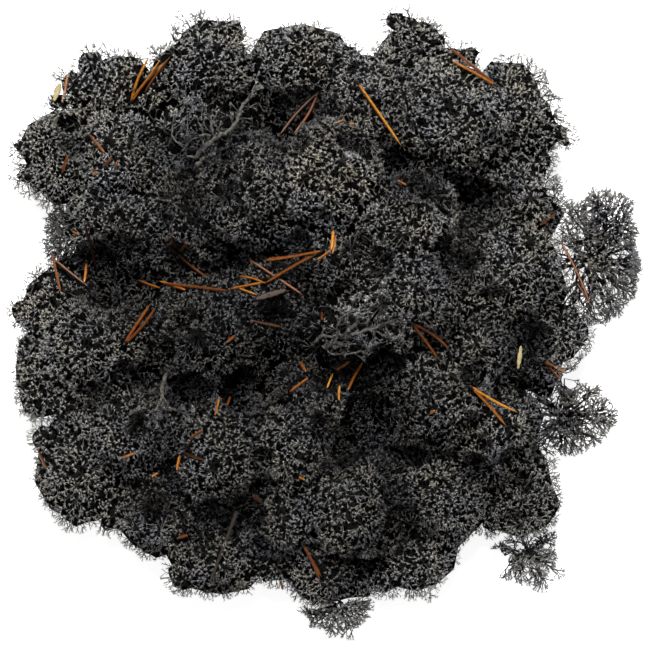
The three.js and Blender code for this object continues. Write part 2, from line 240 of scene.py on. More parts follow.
# Hollows between and in the tufts: place in the view (pixels) and radius (mm)
HOLLOWS = [
    (69, 122, 6), (72, 148, 7), (155, 134, 9), (175, 130, 9), (217, 97, 7), (227, 115, 9),
    (255, 95, 8), (262, 118, 12), (278, 105, 8), (299, 140, 7), (227, 195, 10), (205, 160, 8),
    (160, 215, 8), (236, 215, 8), (95, 265, 15), (120, 250, 12), (130, 285, 12), (105, 290, 12),
    (178, 262, 12), (300, 245, 8), (318, 222, 8), (180, 316, 9), (275, 316, 12), (352, 136, 9),
    (374, 146, 10), (395, 162, 9), (411, 175, 10), (431, 188, 8), (447, 204, 8), (480, 195, 10),
    (500, 195, 9), (510, 190, 7), (456, 264, 10), (470, 256, 9), (448, 245, 8), (488, 290, 8),
    (501, 296, 7), (361, 250, 9), (379, 263, 9), (345, 290, 7), (340, 262, 7), (376, 305, 7),
    (490, 140, 7), (124, 374, 9), (146, 376, 9), (190, 390, 13), (241, 388, 14), (160, 350, 9),
    (95, 392, 6), (142, 426, 9), (196, 406, 8), (310, 360, 11), (328, 374, 12), (320, 426, 8),
    (262, 460, 8), (261, 486, 8), (247, 515, 12), (230, 526, 8), (148, 466, 8), (160, 510, 12),
    (280, 396, 8), (300, 430, 7), (210, 510, 7), (258, 546, 7), (364, 372, 15), (386, 360, 12),
    (368, 420, 17), (360, 440, 11), (344, 452, 9), (334, 438, 8), (396, 490, 10), (402, 522, 12),
    (390, 468, 8), (475, 375, 9), (470, 425, 8), (480, 444, 8), (475, 470, 10), (516, 460, 9),
    (521, 482, 8), (514, 522, 7), (536, 341, 12), (515, 375, 8), (541, 370, 8), (442, 362, 6),
    (414, 456, 8), (165, 190, 7), (195, 340, 7), (300, 98, 8), (222, 149, 9), (241, 132, 8),
    (196, 150, 7), (178, 150, 6), (330, 346, 7), (352, 346, 6), (362, 330, 5), (176, 390, 6),
    (154, 392, 6),
]
HOLLOW_HEIGHT = 1.6
RIM_HEIGHT = 30
# Heights (mm) at which a hollow looks for the top of the hulls, and which it takes over none
PROBE_HEIGHTS = np.arange(4, 124, 2.0)
DEFAULT_PROBE = 20

# A spot is full where this less the distance over its radius is 1, and gone where that is 0
SPOT_EDGE = 1.4
# Tips with an olive or brown cast: place in the view (pixels), radius (mm) and how strong
WARM_SPOTS = [
    (330, 172, 26, 1), (440, 238, 14, 1), (465, 165, 14, 1), (325, 410, 14, 1), (145, 530, 17, 1),
    (345, 300, 12, 1), (600, 420, 12, 1), (300, 60, 12, 1), (342, 622, 14, 1), (70, 250, 14, 1),
    (545, 575, 14, 1),
]
# Painted shade: tufts darker all over, mostly round the hollows: place in the view (pixels), radius
# (mm) and how dark
PAINTED_SHADE_SPOTS = [
    (110, 268, 32, 0.8), (180, 235, 26, 0.4), (225, 300, 30, 0.4), (290, 300, 34, 0.9),
    (330, 370, 34, 0.9), (378, 410, 30, 0.9), (250, 330, 34, 0.7), (265, 238, 20, 0.4),
    (200, 330, 28, 0.9), (165, 385, 20, 0.95), (240, 388, 22, 0.8), (150, 505, 20, 0.9),
    (240, 512, 22, 0.8), (228, 118, 24, 0.6), (300, 105, 18, 0.6), (415, 182, 18, 0.95),
    (475, 205, 14, 0.6), (455, 262, 16, 0.7), (522, 345, 20, 0.7), (400, 520, 18, 0.9),
    (495, 470, 20, 0.5), (340, 440, 20, 0.9), (190, 200, 18, 0.9), (70, 140, 12, 0.6),
    (515, 505, 20, 0.4), (95, 395, 12, 0.7), (198, 145, 18, 0.9), (225, 165, 16, 0.9),
    (290, 140, 13, 0.4), (338, 142, 13, 0.6), (60, 225, 12, 0.7), (58, 262, 9, 0.3),
    (295, 275, 22, 0.9), (320, 330, 14, 0.5), (140, 425, 12, 0.6), (302, 384, 13, 0.9),
    (465, 385, 10, 0.6), (345, 465, 13, 0.5), (385, 462, 11, 0.5), (200, 540, 15, 0.8),
    (262, 545, 14, 0.7), (140, 540, 12, 0.6), (340, 585, 12, 0.6), (545, 385, 11, 0.2),
    (545, 440, 11, 0.6), (145, 142, 13, 0.5), (220, 585, 12, 0.5), (500, 540, 13, 0.4),
    (578, 418, 12, 0.4), (180, 585, 12, 0.4), (268, 330, 14, 0.3),
]
# Painted light: tufts paler all over: place in the view (pixels), radius (mm) and how pale
PAINTED_LIGHT_SPOTS = [
    (100, 66, 18, 1.0), (420, 58, 16, 0.8), (547, 172, 14, 1.0), (540, 102, 16, 0.9),
    (500, 140, 18, 0.6), (430, 135, 14, 0.7), (340, 60, 12, 0.7), (70, 95, 14, 0.5),
    (98, 180, 12, 0.6), (60, 300, 10, 0.6), (60, 340, 10, 0.5), (70, 485, 16, 0.6),
    (102, 440, 10, 0.2), (460, 542, 13, 1.0), (540, 500, 12, 0.7), (180, 60, 10, 0.5),
    (22, 380, 12, 0.7), (430, 255, 10, 0.5), (420, 300, 10, 0.5), (500, 262, 24, 0.6),
    (520, 310, 14, 0.5), (470, 420, 16, 0.4), (577, 345, 10, 1.0), (470, 150, 16, 0.4),
    (430, 262, 10, 0.5), (548, 214, 12, 1.0), (60, 508, 12, 1.0), (340, 75, 12, 0.5),
    (560, 110, 12, 1.0), (505, 435, 18, 0.6), (430, 500, 14, 0.4), (465, 185, 12, 0.6),
]

# Bare stems in the open tufts: width (mm), and stops as column, row (pixels) and height (mm)
STEMS = {
    "tuft_open_north_west": [
        (3.0, [(195, 158, 74), (203, 147, 79), (215, 138, 84), (229, 132, 86), (237, 121, 84),
               (242, 106, 79), (248, 99, 77)]),
        (2.6, [(196, 166, 74), (205, 157, 78), (216, 154, 82)]),
        (1.7, [(215, 138, 84), (212, 129, 86), (210, 120, 84)]),
        (1.5, [(211, 136, 83), (200, 135, 81), (191, 139, 79), (184, 148, 76)]),
        (1.5, [(196, 158, 74), (188, 156, 74), (180, 160, 71)]),
        (1.3, [(203, 147, 79), (202, 128, 80), (196, 116, 78)]),
        (1.2, [(184, 148, 76), (174, 138, 75), (172, 124, 75), (178, 114, 76)]),
        (1.1, [(191, 139, 79), (186, 126, 78), (190, 112, 77)]),
    ],
    "tuft_open_middle": [
        (2.7, [(341, 337, 79), (350, 330, 86), (360, 318, 90), (370, 310, 92)]),
        (2.5, [(341, 338, 79), (356, 335, 85), (372, 328, 90), (386, 323, 92), (396, 319, 93)]),
        (1.8, [(314, 343, 73), (323, 336, 77), (340, 337, 80)]),
        (1.3, [(322, 346, 74), (330, 354, 76), (353, 354, 80), (367, 349, 83), (380, 343, 85)]),
        (1.5, [(340, 337, 80), (337, 326, 86), (343, 315, 90), (356, 310, 92)]),
        (1.5, [(370, 310, 92), (377, 303, 95), (380, 294, 97)]),
        (1.4, [(396, 319, 93), (403, 327, 91), (404, 336, 89)]),
        (1.1, [(328, 346, 75), (336, 342, 79), (345, 346, 82), (356, 344, 84)]),
        (1.2, [(352, 329, 87), (346, 321, 89), (350, 311, 91)]),
        (1.2, [(372, 328, 90), (380, 334, 89), (392, 338, 88)]),
    ],
    "tuft_middle_west": [
        (2.2, [(166, 374, 70), (162, 388, 79), (162, 398, 84), (155, 411, 87)]),
        (1.5, [(162, 396, 83), (167, 405, 86), (176, 410, 87)]),
        (1.3, [(162, 398, 84), (164, 410, 88)]),
    ],
}
# Thin sprigs that reach out at the rim: start and end as column, row (pixels) and height (mm)
SPRIGS = {
    "tuft_north_west_dome": [
        ((198, 38, 48), (182, 14, 44)), ((205, 34, 50), (198, 10, 46)),
    ],
    "tuft_rim_north_west": [
        ((104, 78, 44), (88, 50, 40)), ((116, 72, 44), (104, 46, 40)), ((84, 92, 40), (58, 74, 36)),
    ],
    "tuft_rim_north_right": [
        ((412, 32, 40), (408, 8, 36)), ((420, 36, 40), (436, 24, 36)),
    ],
    "tuft_rim_sprig": [
        ((528, 548, 14), (544, 584, 10)), ((536, 552, 12), (556, 574, 8)),
        ((530, 545, 14), (528, 568, 8)), ((538, 566, 10), (546, 584, 6)),
    ],
    "tuft_rim_south_tip": [
        ((336, 612, 14), (330, 632, 8)), ((346, 612, 14), (350, 634, 8)),
        ((330, 606, 14), (318, 622, 8)),
    ],
    "tuft_rim_east": [
        ((545, 210, 40), (560, 188, 34)), ((548, 216, 40), (566, 204, 34)),
    ],
    "tuft_rim_east_lobe": [
        ((606, 222, 40), (598, 196, 36)), ((596, 226, 40), (576, 212, 34)),
        ((600, 292, 34), (606, 312, 26)),
    ],
    "tuft_rim_west_notch": [
        ((66, 236, 34), (44, 240, 26)), ((62, 222, 34), (44, 214, 28)),
    ],
}

# How litter is laid: where stars count as near, which of their heights it takes, the number of
# stops along it, its height at first, and its gap over the branches
LITTER_NEAR = 1.8
LITTER_HEIGHT = 0.9
LITTER_STOPS = 7
LITTER_GUESS = 60.0
LITTER_GAP = 0.3
# Dry pine needles. Places of the solid ones are in the model's own plan, before it is centred.
CAD_SHIFT = VIEW_MIDDLE
LITTER_SIDES = 8
NEEDLE_WIDTH = 1.55
NEEDLE_BOW = 0.02
NEEDLE_FLATNESS = 0.62
# How much lighter one side of a needle is painted than the other: painted highlight and painted shade
NEEDLE_PAINTED_LIGHT_SIDE = 0.2
NEEDLE_FADING = 0.12
NEEDLE_CLEAR = 2.2
NEEDLE_HEADROOM = 0.8
SHEATH_LENGTH = 3.6
SHEATH_WIDTH = 1.7
SHEATH_SHAPE = (0.55, 0.95, 1.0, 0.95, 0.9, 0.8)
SHEATH_SHADE = 0.04
NEEDLE_PAIRS = {
    "needles_north": ((-4, 132), [(-26, 107), (-18, 108)], 0.30),
    "needles_north_long": ((17, 136), [(43, 100)], 0.72),
    "needles_north_east": ((97, 134), [(68, 157), (71, 148)], 0.36),
    "needles_east_lobe": ((151, 10), [(133, 49)], 0.26),
    "needles_east": ((81, -34), [(108, -49), (102, -57)], 0.62),
    "needles_middle_east": ((48, 1), [(64, -20), (70, -14)], 0.22),
    "needles_south": ((-13, -123), [(-2, -143)], 0.45),
    "needles_north_west": ((-110, 126), [(-99, 150), (-88, 149)], 0.55),
    "needles_west_notch": ((-135, 22), [(-155, 38)], 0.5),
    "needles_west": ((-113, -11), [(-99, 12), (-96, 10)], 0.5),
    "needles_middle_west": ((-53, 19), [(-93, 24)], 0.6),
    "needles_middle": ((-2, 41), [(-34, 36), (-34, 23)], 0.38),
}
TWIG_ENDS = [(-50, -106), (-65, -146)]
TWIG_WIDTH = 2.2
TWIG_STOPS = 26
STUB_STOP = 9
# Needle bits: both ends in the view (pixels), and how light they are
NEEDLE_BITS = [
    ((133, 97), (160, 60), 0.6), ((145, 92), (170, 57), 0.2), ((62, 103), (68, 72), 0.6),
    ((90, 135), (105, 153), 0.45), ((62, 173), (68, 155), 0.5), ((103, 167), (112, 158), 0.4),
    ((115, 167), (118, 160), 0.5), ((92, 173), (98, 172), 0.4), ((338, 122), (345, 120), 0.6),
    ((350, 124), (354, 123), 0.5), ((398, 180), (407, 185), 0.35), ((577, 283), (590, 302), 0.3),
    ((540, 225), (556, 213), 0.15), ((52, 253), (61, 294), 0.55), ((86, 263), (84, 283), 0.5),
    ((84, 222), (97, 272), 0.1), ((72, 231), (79, 235), 0.3), ((172, 235), (175, 248), 0.35),
    ((167, 246), (175, 252), 0.3), ((187, 243), (180, 252), 0.4), ((178, 255), (208, 278), 0.15),
    ((138, 280), (160, 288), 0.5), ((185, 290), (159, 281), 0.65), ((230, 289), (265, 282), 0.7),
    ((240, 276), (265, 283), 0.4), ((303, 260), (265, 283), 0.5), ((320, 251), (265, 259), 0.5),
    ((250, 260), (303, 295), 0.2), ((238, 288), (257, 295), 0.65), ((333, 230), (331, 250), 0.7),
    ((331, 250), (317, 260), 0.7), ((335, 235), (332, 254), 0.55), ((250, 320), (283, 327), 0.3),
    ((227, 342), (235, 335), 0.45), ((300, 362), (306, 372), 0.4), ((290, 392), (308, 378), 0.5),
    ((337, 370), (351, 361), 0.75), ((327, 388), (333, 373), 0.7), ((348, 390), (363, 362), 0.5),
    ((339, 400), (340, 385), 0.7), ((215, 415), (219, 397), 0.7), ((227, 405), (230, 396), 0.5),
    ((122, 458), (135, 453), 0.4), ((177, 470), (180, 455), 0.7), ((190, 440), (203, 430), 0.35),
    ((183, 452), (205, 460), 0.2), ((152, 477), (158, 473), 0.7), ((178, 538), (188, 535), 0.5),
    ((304, 545), (320, 580), 0.45), ((253, 495), (262, 503), 0.4), ((299, 477), (305, 480), 0.5),
    ((38, 450), (47, 470), 0.2), ((281, 582), (283, 590), 0.5), ((322, 312), (322, 320), 0.5),
    ((430, 414), (435, 410), 0.6), ((546, 362), (567, 374), 0.45), ((545, 362), (561, 380), 0.35),
]
FLAKE_STOPS = 15
FLAKE_FLATNESS = 0.3
# Flat scraps: both ends in the view (pixels), width (mm) and what they are
FLAKES = {
    "bark_scrap": ((256, 299), (286, 290), 3.4, "bark"),
    "leaf_bit_east": ((521, 346), (518, 369), 2.6, "leaf"),
    "leaf_bit_north_west": ((60, 84), (54, 101), 3.8, "leaf"),
}
NEEDLE_COLOURS = [(0.006, 0.003, 0.0015), (0.028, 0.009, 0.003), (0.085, 0.022, 0.003),
                  (0.17, 0.056, 0.005), (0.31, 0.155, 0.025)]
BARK_COLOURS = [(0.008, 0.0055, 0.004), (0.032, 0.022, 0.016), (0.085, 0.066, 0.052)]
LEAF_COLOURS = [(0.06, 0.045, 0.02), (0.16, 0.125, 0.06), (0.26, 0.22, 0.125)]


def at_view(column, row, height):
    """The point at that height that the camera sees at a pixel."""
    step = PIXEL * (CAMERA_HEIGHT - height) / (CAMERA_HEIGHT - FOCUS_HEIGHT)
    return np.array([VIEW_MIDDLE[0] + (column - VIEW_PIXELS / 2) * step,
                     VIEW_MIDDLE[1] + (VIEW_PIXELS / 2 - row) * step, height])


def seeded(name):
    """A random generator of its own for each name."""
    return np.random.default_rng([ord(letter) for letter in name])


def unit(v):
    """Each vector at length 1."""
    return v / np.maximum(np.linalg.norm(v, axis=-1, keepdims=True), 1e-9)


def shifted(grid, reach):
    """The grid shifted by every step of up to that many cells each way."""
    padded = np.pad(grid, reach)
    rows, columns = grid.shape
    steps = range(2 * reach + 1)
    return [padded[i:i + rows, j:j + columns] for i in steps for j in steps]


def even_directions(count):
    """Directions spread evenly over the whole sphere."""
    k = np.arange(count) + 0.5
    z = 1 - 2 * k / count
    ring = np.sqrt(1 - z * z)
    return np.stack([ring * np.cos(k * GOLDEN_ANGLE), ring * np.sin(k * GOLDEN_ANGLE), z], 1)


def waves(points, size, rng):
    """Smooth random values from about -1 to 1, with bumps of that size."""
    value = np.zeros(len(points))
    for _ in range(WAVES):
        push = unit(rng.normal(0, 1, 3)) * rng.uniform(*WAVE_STRAY) * math.pi / size
        value += np.sin(points @ push + rng.uniform(0, 2 * math.pi))
    return value / WAVE_HEIGHT


def linked(name, data):
    """A new object in the scene."""
    made = bpy.data.objects.new(name, data)
    bpy.context.scene.collection.objects.link(made)
    return made


# ---------------- outer forms


def clearance(apart, radii):
    """How far each point lies outside the nearest ball or cylinder. apart leads to their middles."""
    return (np.linalg.norm(apart, axis=2) - radii[None]).min(1)


def upright(spots):
    """The middles in plan and the radii of upright cuts at the rim."""
    middles = [at_view(column, row, RIM_HEIGHT)[:2] for column, row, _ in spots]
    return np.array(middles), np.array([radius for *_, radius in spots])


class Hollows:
    """Upright hollows in the clump, each with its middle on the tufts' hulls, and cuts at its rim."""

    def __init__(self, forms):
        self.places, self.radii = [], np.array([radius for *_, radius in HOLLOWS])
        for column, row, _ in HOLLOWS:
            line = np.array([at_view(column, row, height) for height in PROBE_HEIGHTS])
            inside = np.max([form.depth(line) for form in forms.values()], 0) > 0
            self.places.append(line[np.flatnonzero(inside)[-1] if inside.any() else DEFAULT_PROBE])
        self.places = np.array(self.places)
        self.cuts, self.cut_radii = upright(RIM_CUTS)
        self.lace, self.lace_radii = upright(LACE)
        self.seen_through = [(forms[name], reach) for name, reach in SEEN_THROUGH.items()]

    def gaps(self, points):
        """How far each point lies outside the nearest hollow, and the nearest rim cut."""
        apart = (points[:, None] - self.places[None]) / np.array([1, 1, HOLLOW_HEIGHT])
        cut = clearance(points[:, None, :2] - self.cuts[None], self.cut_radii)
        return clearance(apart, self.radii), cut

    def outside(self, points):
        return np.minimum(*self.gaps(points))

    def core_room(self, points):
        """Above 0 where a core may be."""
        hollow, cut = self.gaps(points)
        lace = clearance(points[:, None, :2] - self.lace[None], self.lace_radii)
        airy = np.min([reach - form.depth(points) for form, reach in self.seen_through], 0)
        return np.min([hollow - CORE_CLEAR, cut - CORE_CUT_CLEAR, lace, airy], 0)


def ball(subdivisions):
    """The directions and triangles of a round ball."""
    made = bmesh.new()
    bmesh.ops.create_icosphere(made, subdivisions=subdivisions, radius=1)
    directions = unit(np.array([v.co for v in made.verts]))
    triangles = np.array([[v.index for v in face.verts] for face in made.faces])
    made.free()
    return directions, triangles


class Form:
    """The outer form of a tuft: the hull of its solid, with lumps inside it like a cauliflower's."""

    def __init__(self, node):
        self.node = node
        self.low, self.high = (np.array(corner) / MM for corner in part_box(node))
        self.middle = (self.low + self.high) / 2
        self.middle[2] = MIDDLE_HEIGHT * self.high[2]
        self.normals, self.offsets = self.hull_planes()

    def hull_planes(self):
        """The hull's planes, of those that face nearly one way only the innermost."""
        hull = bmesh.new()
        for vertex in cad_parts[self.node].data.vertices:
            hull.verts.new(vertex.co / MM)
        bmesh.ops.convex_hull(hull, input=hull.verts)
        hull.normal_update()
        middle = Vector(self.middle)
        found = {}
        for face in hull.faces:
            height = face.normal.dot(face.verts[0].co - middle)
            normal = face.normal * (1 if height > 0 else -1)
            key = tuple(round(x * NORMAL_STEPS) for x in normal)
            if key not in found or abs(height) < found[key][1]:
                found[key] = (normal.copy(), abs(height))
        hull.free()
        return np.array([n for n, _ in found.values()]), np.array([h for _, h in found.values()])

    def depth(self, points):
        """How far each point lies inside the hull."""
        return (self.offsets[None] - (points - self.middle) @ self.normals.T).min(1)

    def spread_to(self, tree):
        """Lets the sides out, far towards neighbours and a little at the clump's rim."""
        for index, normal in enumerate(self.normals):
            if abs(normal[2]) < SIDE_SLOPE:
                wall = Vector(self.middle + normal * (self.offsets[index] - WALL_INSET))
                met = tree.ray_cast(wall, Vector(normal), WALL_LOOK)[0]
                self.offsets[index] += RIM_SPREAD if met is None else SPREAD

    def reach(self, directions):
        """How far the hull lies from its middle in each direction."""
        facing = directions @ self.normals.T
        reach = self.offsets / np.maximum(facing, LEAST_FACING)
        return np.where(facing > LEAST_FACING, reach, FAR).min(1)

    def place_lumps(self, rng):
        """Sets lumps well apart, just under the hull."""
        directions = even_directions(LUMP_PLACES)
        directions = directions[directions[:, 2] > LOWEST_DIRECTION]
        points = self.middle + directions * self.reach(directions)[:, None]
        high = points[:, 2] > LOWEST_LUMP
        points, directions = points[high], directions[high]
        lumps, radii = [], []
        free = np.full(len(points), FAR)
        for _ in range(MOST_LUMPS):
            pick = np.argmax(free * rng.uniform(LUMP_CHANCE, 1, len(points)))
            radius = rng.uniform(*LUMP_RADIUS)
            if free[pick] < radius * LUMP_SPACING:
                break
            recess = radius + rng.uniform(*LUMP_RECESS)
            lumps.append(points[pick] - directions[pick] * recess)
            radii.append(radius)
            free = np.minimum(free, np.linalg.norm(points - points[pick], axis=1))
        self.lumps, self.radii = np.array(lumps), np.array(radii)
        self.first_bulge = len(lumps)
        self.bulges = []

    def add_bulge(self, place, radius):
        """A lump that may stand out of the hull."""
        self.lumps = np.vstack([self.lumps, place])
        self.radii = np.append(self.radii, radius)

    def lump_depth(self, points):
        """How far each point lies inside the nearest lump, and which lump that is."""
        gaps = self.radii[None] - np.linalg.norm(points[:, None] - self.lumps[None], axis=2)
        return gaps.max(1), gaps.argmax(1)

    def bulge_depth(self, points):
        """How far each point lies inside the nearest bulge."""
        if len(self.radii) == self.first_bulge:
            return np.full(len(points), -FAR)
        apart = points[:, None] - self.lumps[None, self.first_bulge:]
        return -clearance(apart, self.radii[self.first_bulge:])

    def skin(self):
        """The hull as a closed mesh, a little inside itself."""
        directions, triangles = ball(3)
        reach = np.maximum(self.reach(directions) - SKIN_INSET, 1)
        return self.middle + directions * reach[:, None], triangles

    def cores(self, hollows, rng):
        """Rough dark masses in the hull and its bulges, clear of hollows and airy tufts, as painted
        shade for the shaded inside.
        """
        directions, triangles = ball(2)
        near = directions @ directions.T > CORE_ROUNDING
        depth = CORE_DEPTH + (CORE_TOP_DEPTH - CORE_DEPTH) * np.maximum(directions[:, 2], 0)
        masses = [(self.middle, self.reach(directions))]
        masses += [(place, np.full(len(directions), radius)) for place, radius in self.bulges]
        for middle, reach in masses:
            reach = np.minimum(reach, near @ reach / near.sum(1))
            rough = CORE_ROUGHNESS * waves(middle + directions * reach[:, None], 6, rng)
            reach = reach - depth * (1 + rough)
            for _ in range(CORE_STEPS):
                points = middle + directions * np.maximum(reach, 1)[:, None]
                reach = np.where(hollows.core_room(points) < 0, reach - CORE_STEP, reach)
            points = middle + directions * np.maximum(reach, 1)[:, None]
            floor = CORE_FLOOR + 1.5 * waves(points * [1, 1, 0], 5, rng)
            points[:, 2] = np.maximum(points[:, 2], floor)
            yield points, triangles


# ---------------- growing


class Growth:
    """The points, triangles and ages of one piece. Age is 0 at the tips and 1 at the ground."""

    def __init__(self):
        self.points, self.triangles, self.ages, self.kinds = [], [], [], []
        self.count, self.kind = 0, 0

    def add_points(self, points, age):
        first = self.count
        self.points.append(points)
        self.ages.append(np.zeros(len(points)) + age)
        self.count += len(points)
        return first

    def add_triangles(self, *corners):
        self.triangles.append(np.stack(corners, 1))
        self.kinds.append(np.full(len(corners[0]), self.kind))

    def add_rings(self, places, along, across, width, age):
        """A ring of three points round each place; gives the first point of each."""
        side = np.cross(along, across)
        corners = []
        for k in range(3):
            turn = 2 * math.pi * k / 3
            out = across * math.cos(turn) + side * math.sin(turn)
            corners.append(places + out * width * RING_RADIUS)
        first = self.add_points(np.stack(corners, 1).reshape(-1, 3), age)
        return first + 3 * np.arange(len(places))

    def join(self, below, above, sides=3):
        """Walls between rings below and above, given by the first point of each."""
        for k in range(sides):
            after = (k + 1) % sides
            self.add_triangles(below + k, below + after, above + after)
            self.add_triangles(below + k, above + after, above + k)

    def add_tube(self, path, widths, ages, sides=6, flat=1.0):
        """A closed, tapered tube along a path. flat is its height over its width."""
        along = unit(np.gradient(path, axis=0))
        side = unit(np.cross(along, np.array([0.02, 0.03, 1.0])))
        up = np.cross(along, side)
        turns = 2 * math.pi * np.arange(sides) / sides
        round_way = (side[:, None] * np.cos(turns)[None, :, None]
                     + up[:, None] * flat * np.sin(turns)[None, :, None])
        rings = path[:, None] + round_way * np.asarray(widths)[:, None, None] / 2
        first = self.add_points(rings.reshape(-1, 3), np.repeat(ages, sides))
        rows = first + sides * np.arange(len(path))
        self.join(rows[:-1], rows[1:], sides)
        fan = np.arange(1, sides - 1)
        self.add_triangles(rows[0] + 0 * fan, rows[0] + fan + 1, rows[0] + fan)
        self.add_triangles(rows[-1] + 0 * fan, rows[-1] + fan, rows[-1] + fan + 1)

def nearest_of(points, seats):
    """Which seat each point is nearest to."""
    return np.argmin((seats * seats).sum(1)[None] - 2 * points @ seats.T, 1)


def grouped(points, count, rng):
    """Each point's group out of about that many groups of near points."""
    count = max(1, min(count, len(points)))
    seats = points[rng.choice(len(points), count, replace=False)]
    for _ in range(3):
        owner = nearest_of(points, seats)
        seats = means(points, owner, len(seats), seats)
    used, owner = np.unique(nearest_of(points, seats), return_inverse=True)
    return owner, len(used)


def means(values, owner, count, otherwise=None):
    """The mean of each owner's values, or otherwise's where an owner has none."""
    sums = np.zeros((count, values.shape[1]))
    np.add.at(sums, owner, values)
    shares = np.bincount(owner, minlength=count)
    mean = sums / np.maximum(shares, 1)[:, None]
    if otherwise is not None:
        mean[shares == 0] = otherwise[shares == 0]
    return mean


def grow(form, stars, hearts, rng, growth, coarse=1.0):
    """Stalks from the ground up to every star. hearts are the middles of the stars' lumps."""
    low_middle = form.middle * np.array([1, 1, LOW_MIDDLE])
    levels, owners = [stars], []
    for level, step in enumerate(FORK_STEPS):
        owner, count = grouped(levels[-1], int(len(levels[-1]) / FORKS), rng)
        place, heart = means(levels[-1], owner, count), means(hearts, owner, count)
        goal = heart if level < 2 else low_middle
        length = step * coarse * rng.uniform(*STEP_CHANCE, (count, 1))
        room = np.linalg.norm(goal - place, axis=1, keepdims=True)
        parents = place + unit(goal - place) * np.minimum(length, MOST_OF_THE_WAY * room)
        parents += rng.normal(0, STRAY[level] * step * coarse, parents.shape)
        parents[:, 2] = np.maximum(parents[:, 2], LOWEST_FORK)
        levels.append(parents)
        owners.append(owner)
        hearts = heart
    feet = levels[-1].copy()
    feet[:, :2] = form.middle[:2] + FEET_SPREAD * (feet[:, :2] - form.middle[:2])
    feet[:, :2] += rng.normal(0, FEET_STRAY, feet[:, :2].shape)
    feet[:, 2] = 0
    levels.append(feet)
    owners.append(np.arange(len(feet)))

    top = len(levels) - 1
    places = levels[top]
    along = np.tile([0.0, 0.0, 1.0], (len(places), 1))
    across = np.tile([1.0, 0.0, 0.0], (len(places), 1))
    rings = growth.add_rings(places, along, across, WIDTHS[top] * coarse, 1)
    for level in range(top - 1, -1, -1):
        owner = owners[level]
        base, across, rings = places[owner], across[owner], rings[owner]
        places = levels[level]
        gaps = np.linalg.norm(places - base, axis=1, keepdims=True)
        stops = [(places, WIDTHS[level], max(level / top, STAR_AGE))]
        if np.median(gaps) > LONG_BRANCH * coarse:
            bend = (places + base) / 2 + rng.normal(0, BEND, places.shape) * gaps
            bend[:, 2] = np.maximum(bend[:, 2], LOWEST_BEND)
            stops.insert(0, (bend, (WIDTHS[level] + WIDTHS[level + 1]) / 2, (level + 0.5) / top))
        for stop, width, age in stops:
            along = unit(stop - base)
            across = unit(across - (across * along).sum(1)[:, None] * along + 1e-6)
            above = growth.add_rings(stop, along, across, width * coarse, age)
            growth.join(rings, above)
            base, rings = stop, above
    add_star_tips(growth, places, along, across, rings, rng, coarse)


def add_star_tips(growth, places, along, across, rings, rng, coarse):
    """Pointed tips that spread from the end of each branch."""
    side = np.cross(along, across)
    count = len(places)
    turn = rng.uniform(0, 2 * math.pi, count)
    for k in range(TIPS):
        angle = turn + 2 * math.pi * k / TIPS + rng.normal(0, TIP_STRAY, count)
        spread = rng.uniform(*TIP_SPREAD, count)
        length = rng.uniform(*TIP_LENGTH, count) * coarse ** 0.5
        out = across * np.cos(angle)[:, None] + side * np.sin(angle)[:, None]
        reach = along * np.cos(spread)[:, None] + out * np.sin(spread)[:, None]
        first = growth.add_points(places + reach * length[:, None], 0)
        apex = first + np.arange(count)
        for j in range(3):
            growth.add_triangles(rings + j, rings + (j + 1) % 3, apex)


# ---------------- stars on the forms


def clear_of_needles(points):
    """Which points don't lie over one of the solid needles, which rest on the branches."""
    clear = np.ones(len(points), bool)
    for name, (sheath, ends, _) in NEEDLE_PAIRS.items():
        for end in ends:
            start, tip = (litter_place(name, place) for place in (sheath, end))
            way = tip[:2] - start[:2]
            share = np.clip((points[:, :2] - start[:2]) @ way / (way @ way), 0, 1)
            line = start + (tip - start) * share[:, None]
            apart = np.hypot(*(points - line)[:, :2].T)
            clear &= (apart > NEEDLE_CLEAR) | (points[:, 2] < line[:, 2] - NEEDLE_HEADROOM)
    return clear


def star_points(form, near, hollows, rng, spacing):
    """Points of an uneven lattice just under the lumps' surface, and their lumps' middles."""
    shell = AIRY_SHELL if form.node in AIRY else SHELL_DEPTH
    wider = SPREAD * np.array([1, 1, 0])
    low, high = form.low - wider, form.high + wider
    axes = [np.arange(low[k], high[k] + spacing, spacing) for k in range(3)]
    grid = np.stack(np.meshgrid(*axes, indexing="ij"), -1).reshape(-1, 3)
    grid = grid + rng.uniform(-0.5, 0.5, grid.shape) * spacing
    grid = grid[grid[:, 2] > LOWEST_STAR]
    hull_depth, bulge_depth = form.depth(grid), form.bulge_depth(grid)
    keep = (np.maximum(hull_depth, bulge_depth) > 0) & (hull_depth < DEEPEST)
    grid, hull_depth, bulge_depth = grid[keep], hull_depth[keep], bulge_depth[keep]
    lump_depth, lump = form.lump_depth(grid)
    depth = np.minimum(np.maximum(lump_depth, hull_depth - VALLEY), hull_depth)
    depth = np.minimum(np.maximum(depth, bulge_depth), hollows.outside(grid))
    uneven = sum(height * waves(grid, size, rng) for height, size in SHELL_WAVES)
    keep = (depth > SHELL_START + uneven) & (depth < shell + uneven)
    grid, lump, hull_depth = grid[keep], lump[keep], hull_depth[keep]
    for other in near:
        keep = hull_depth > other.depth(grid)
        grid, lump, hull_depth = grid[keep], lump[keep], hull_depth[keep]
    keep = clear_of_needles(grid)
    return grid[keep], form.lumps[lump[keep]]


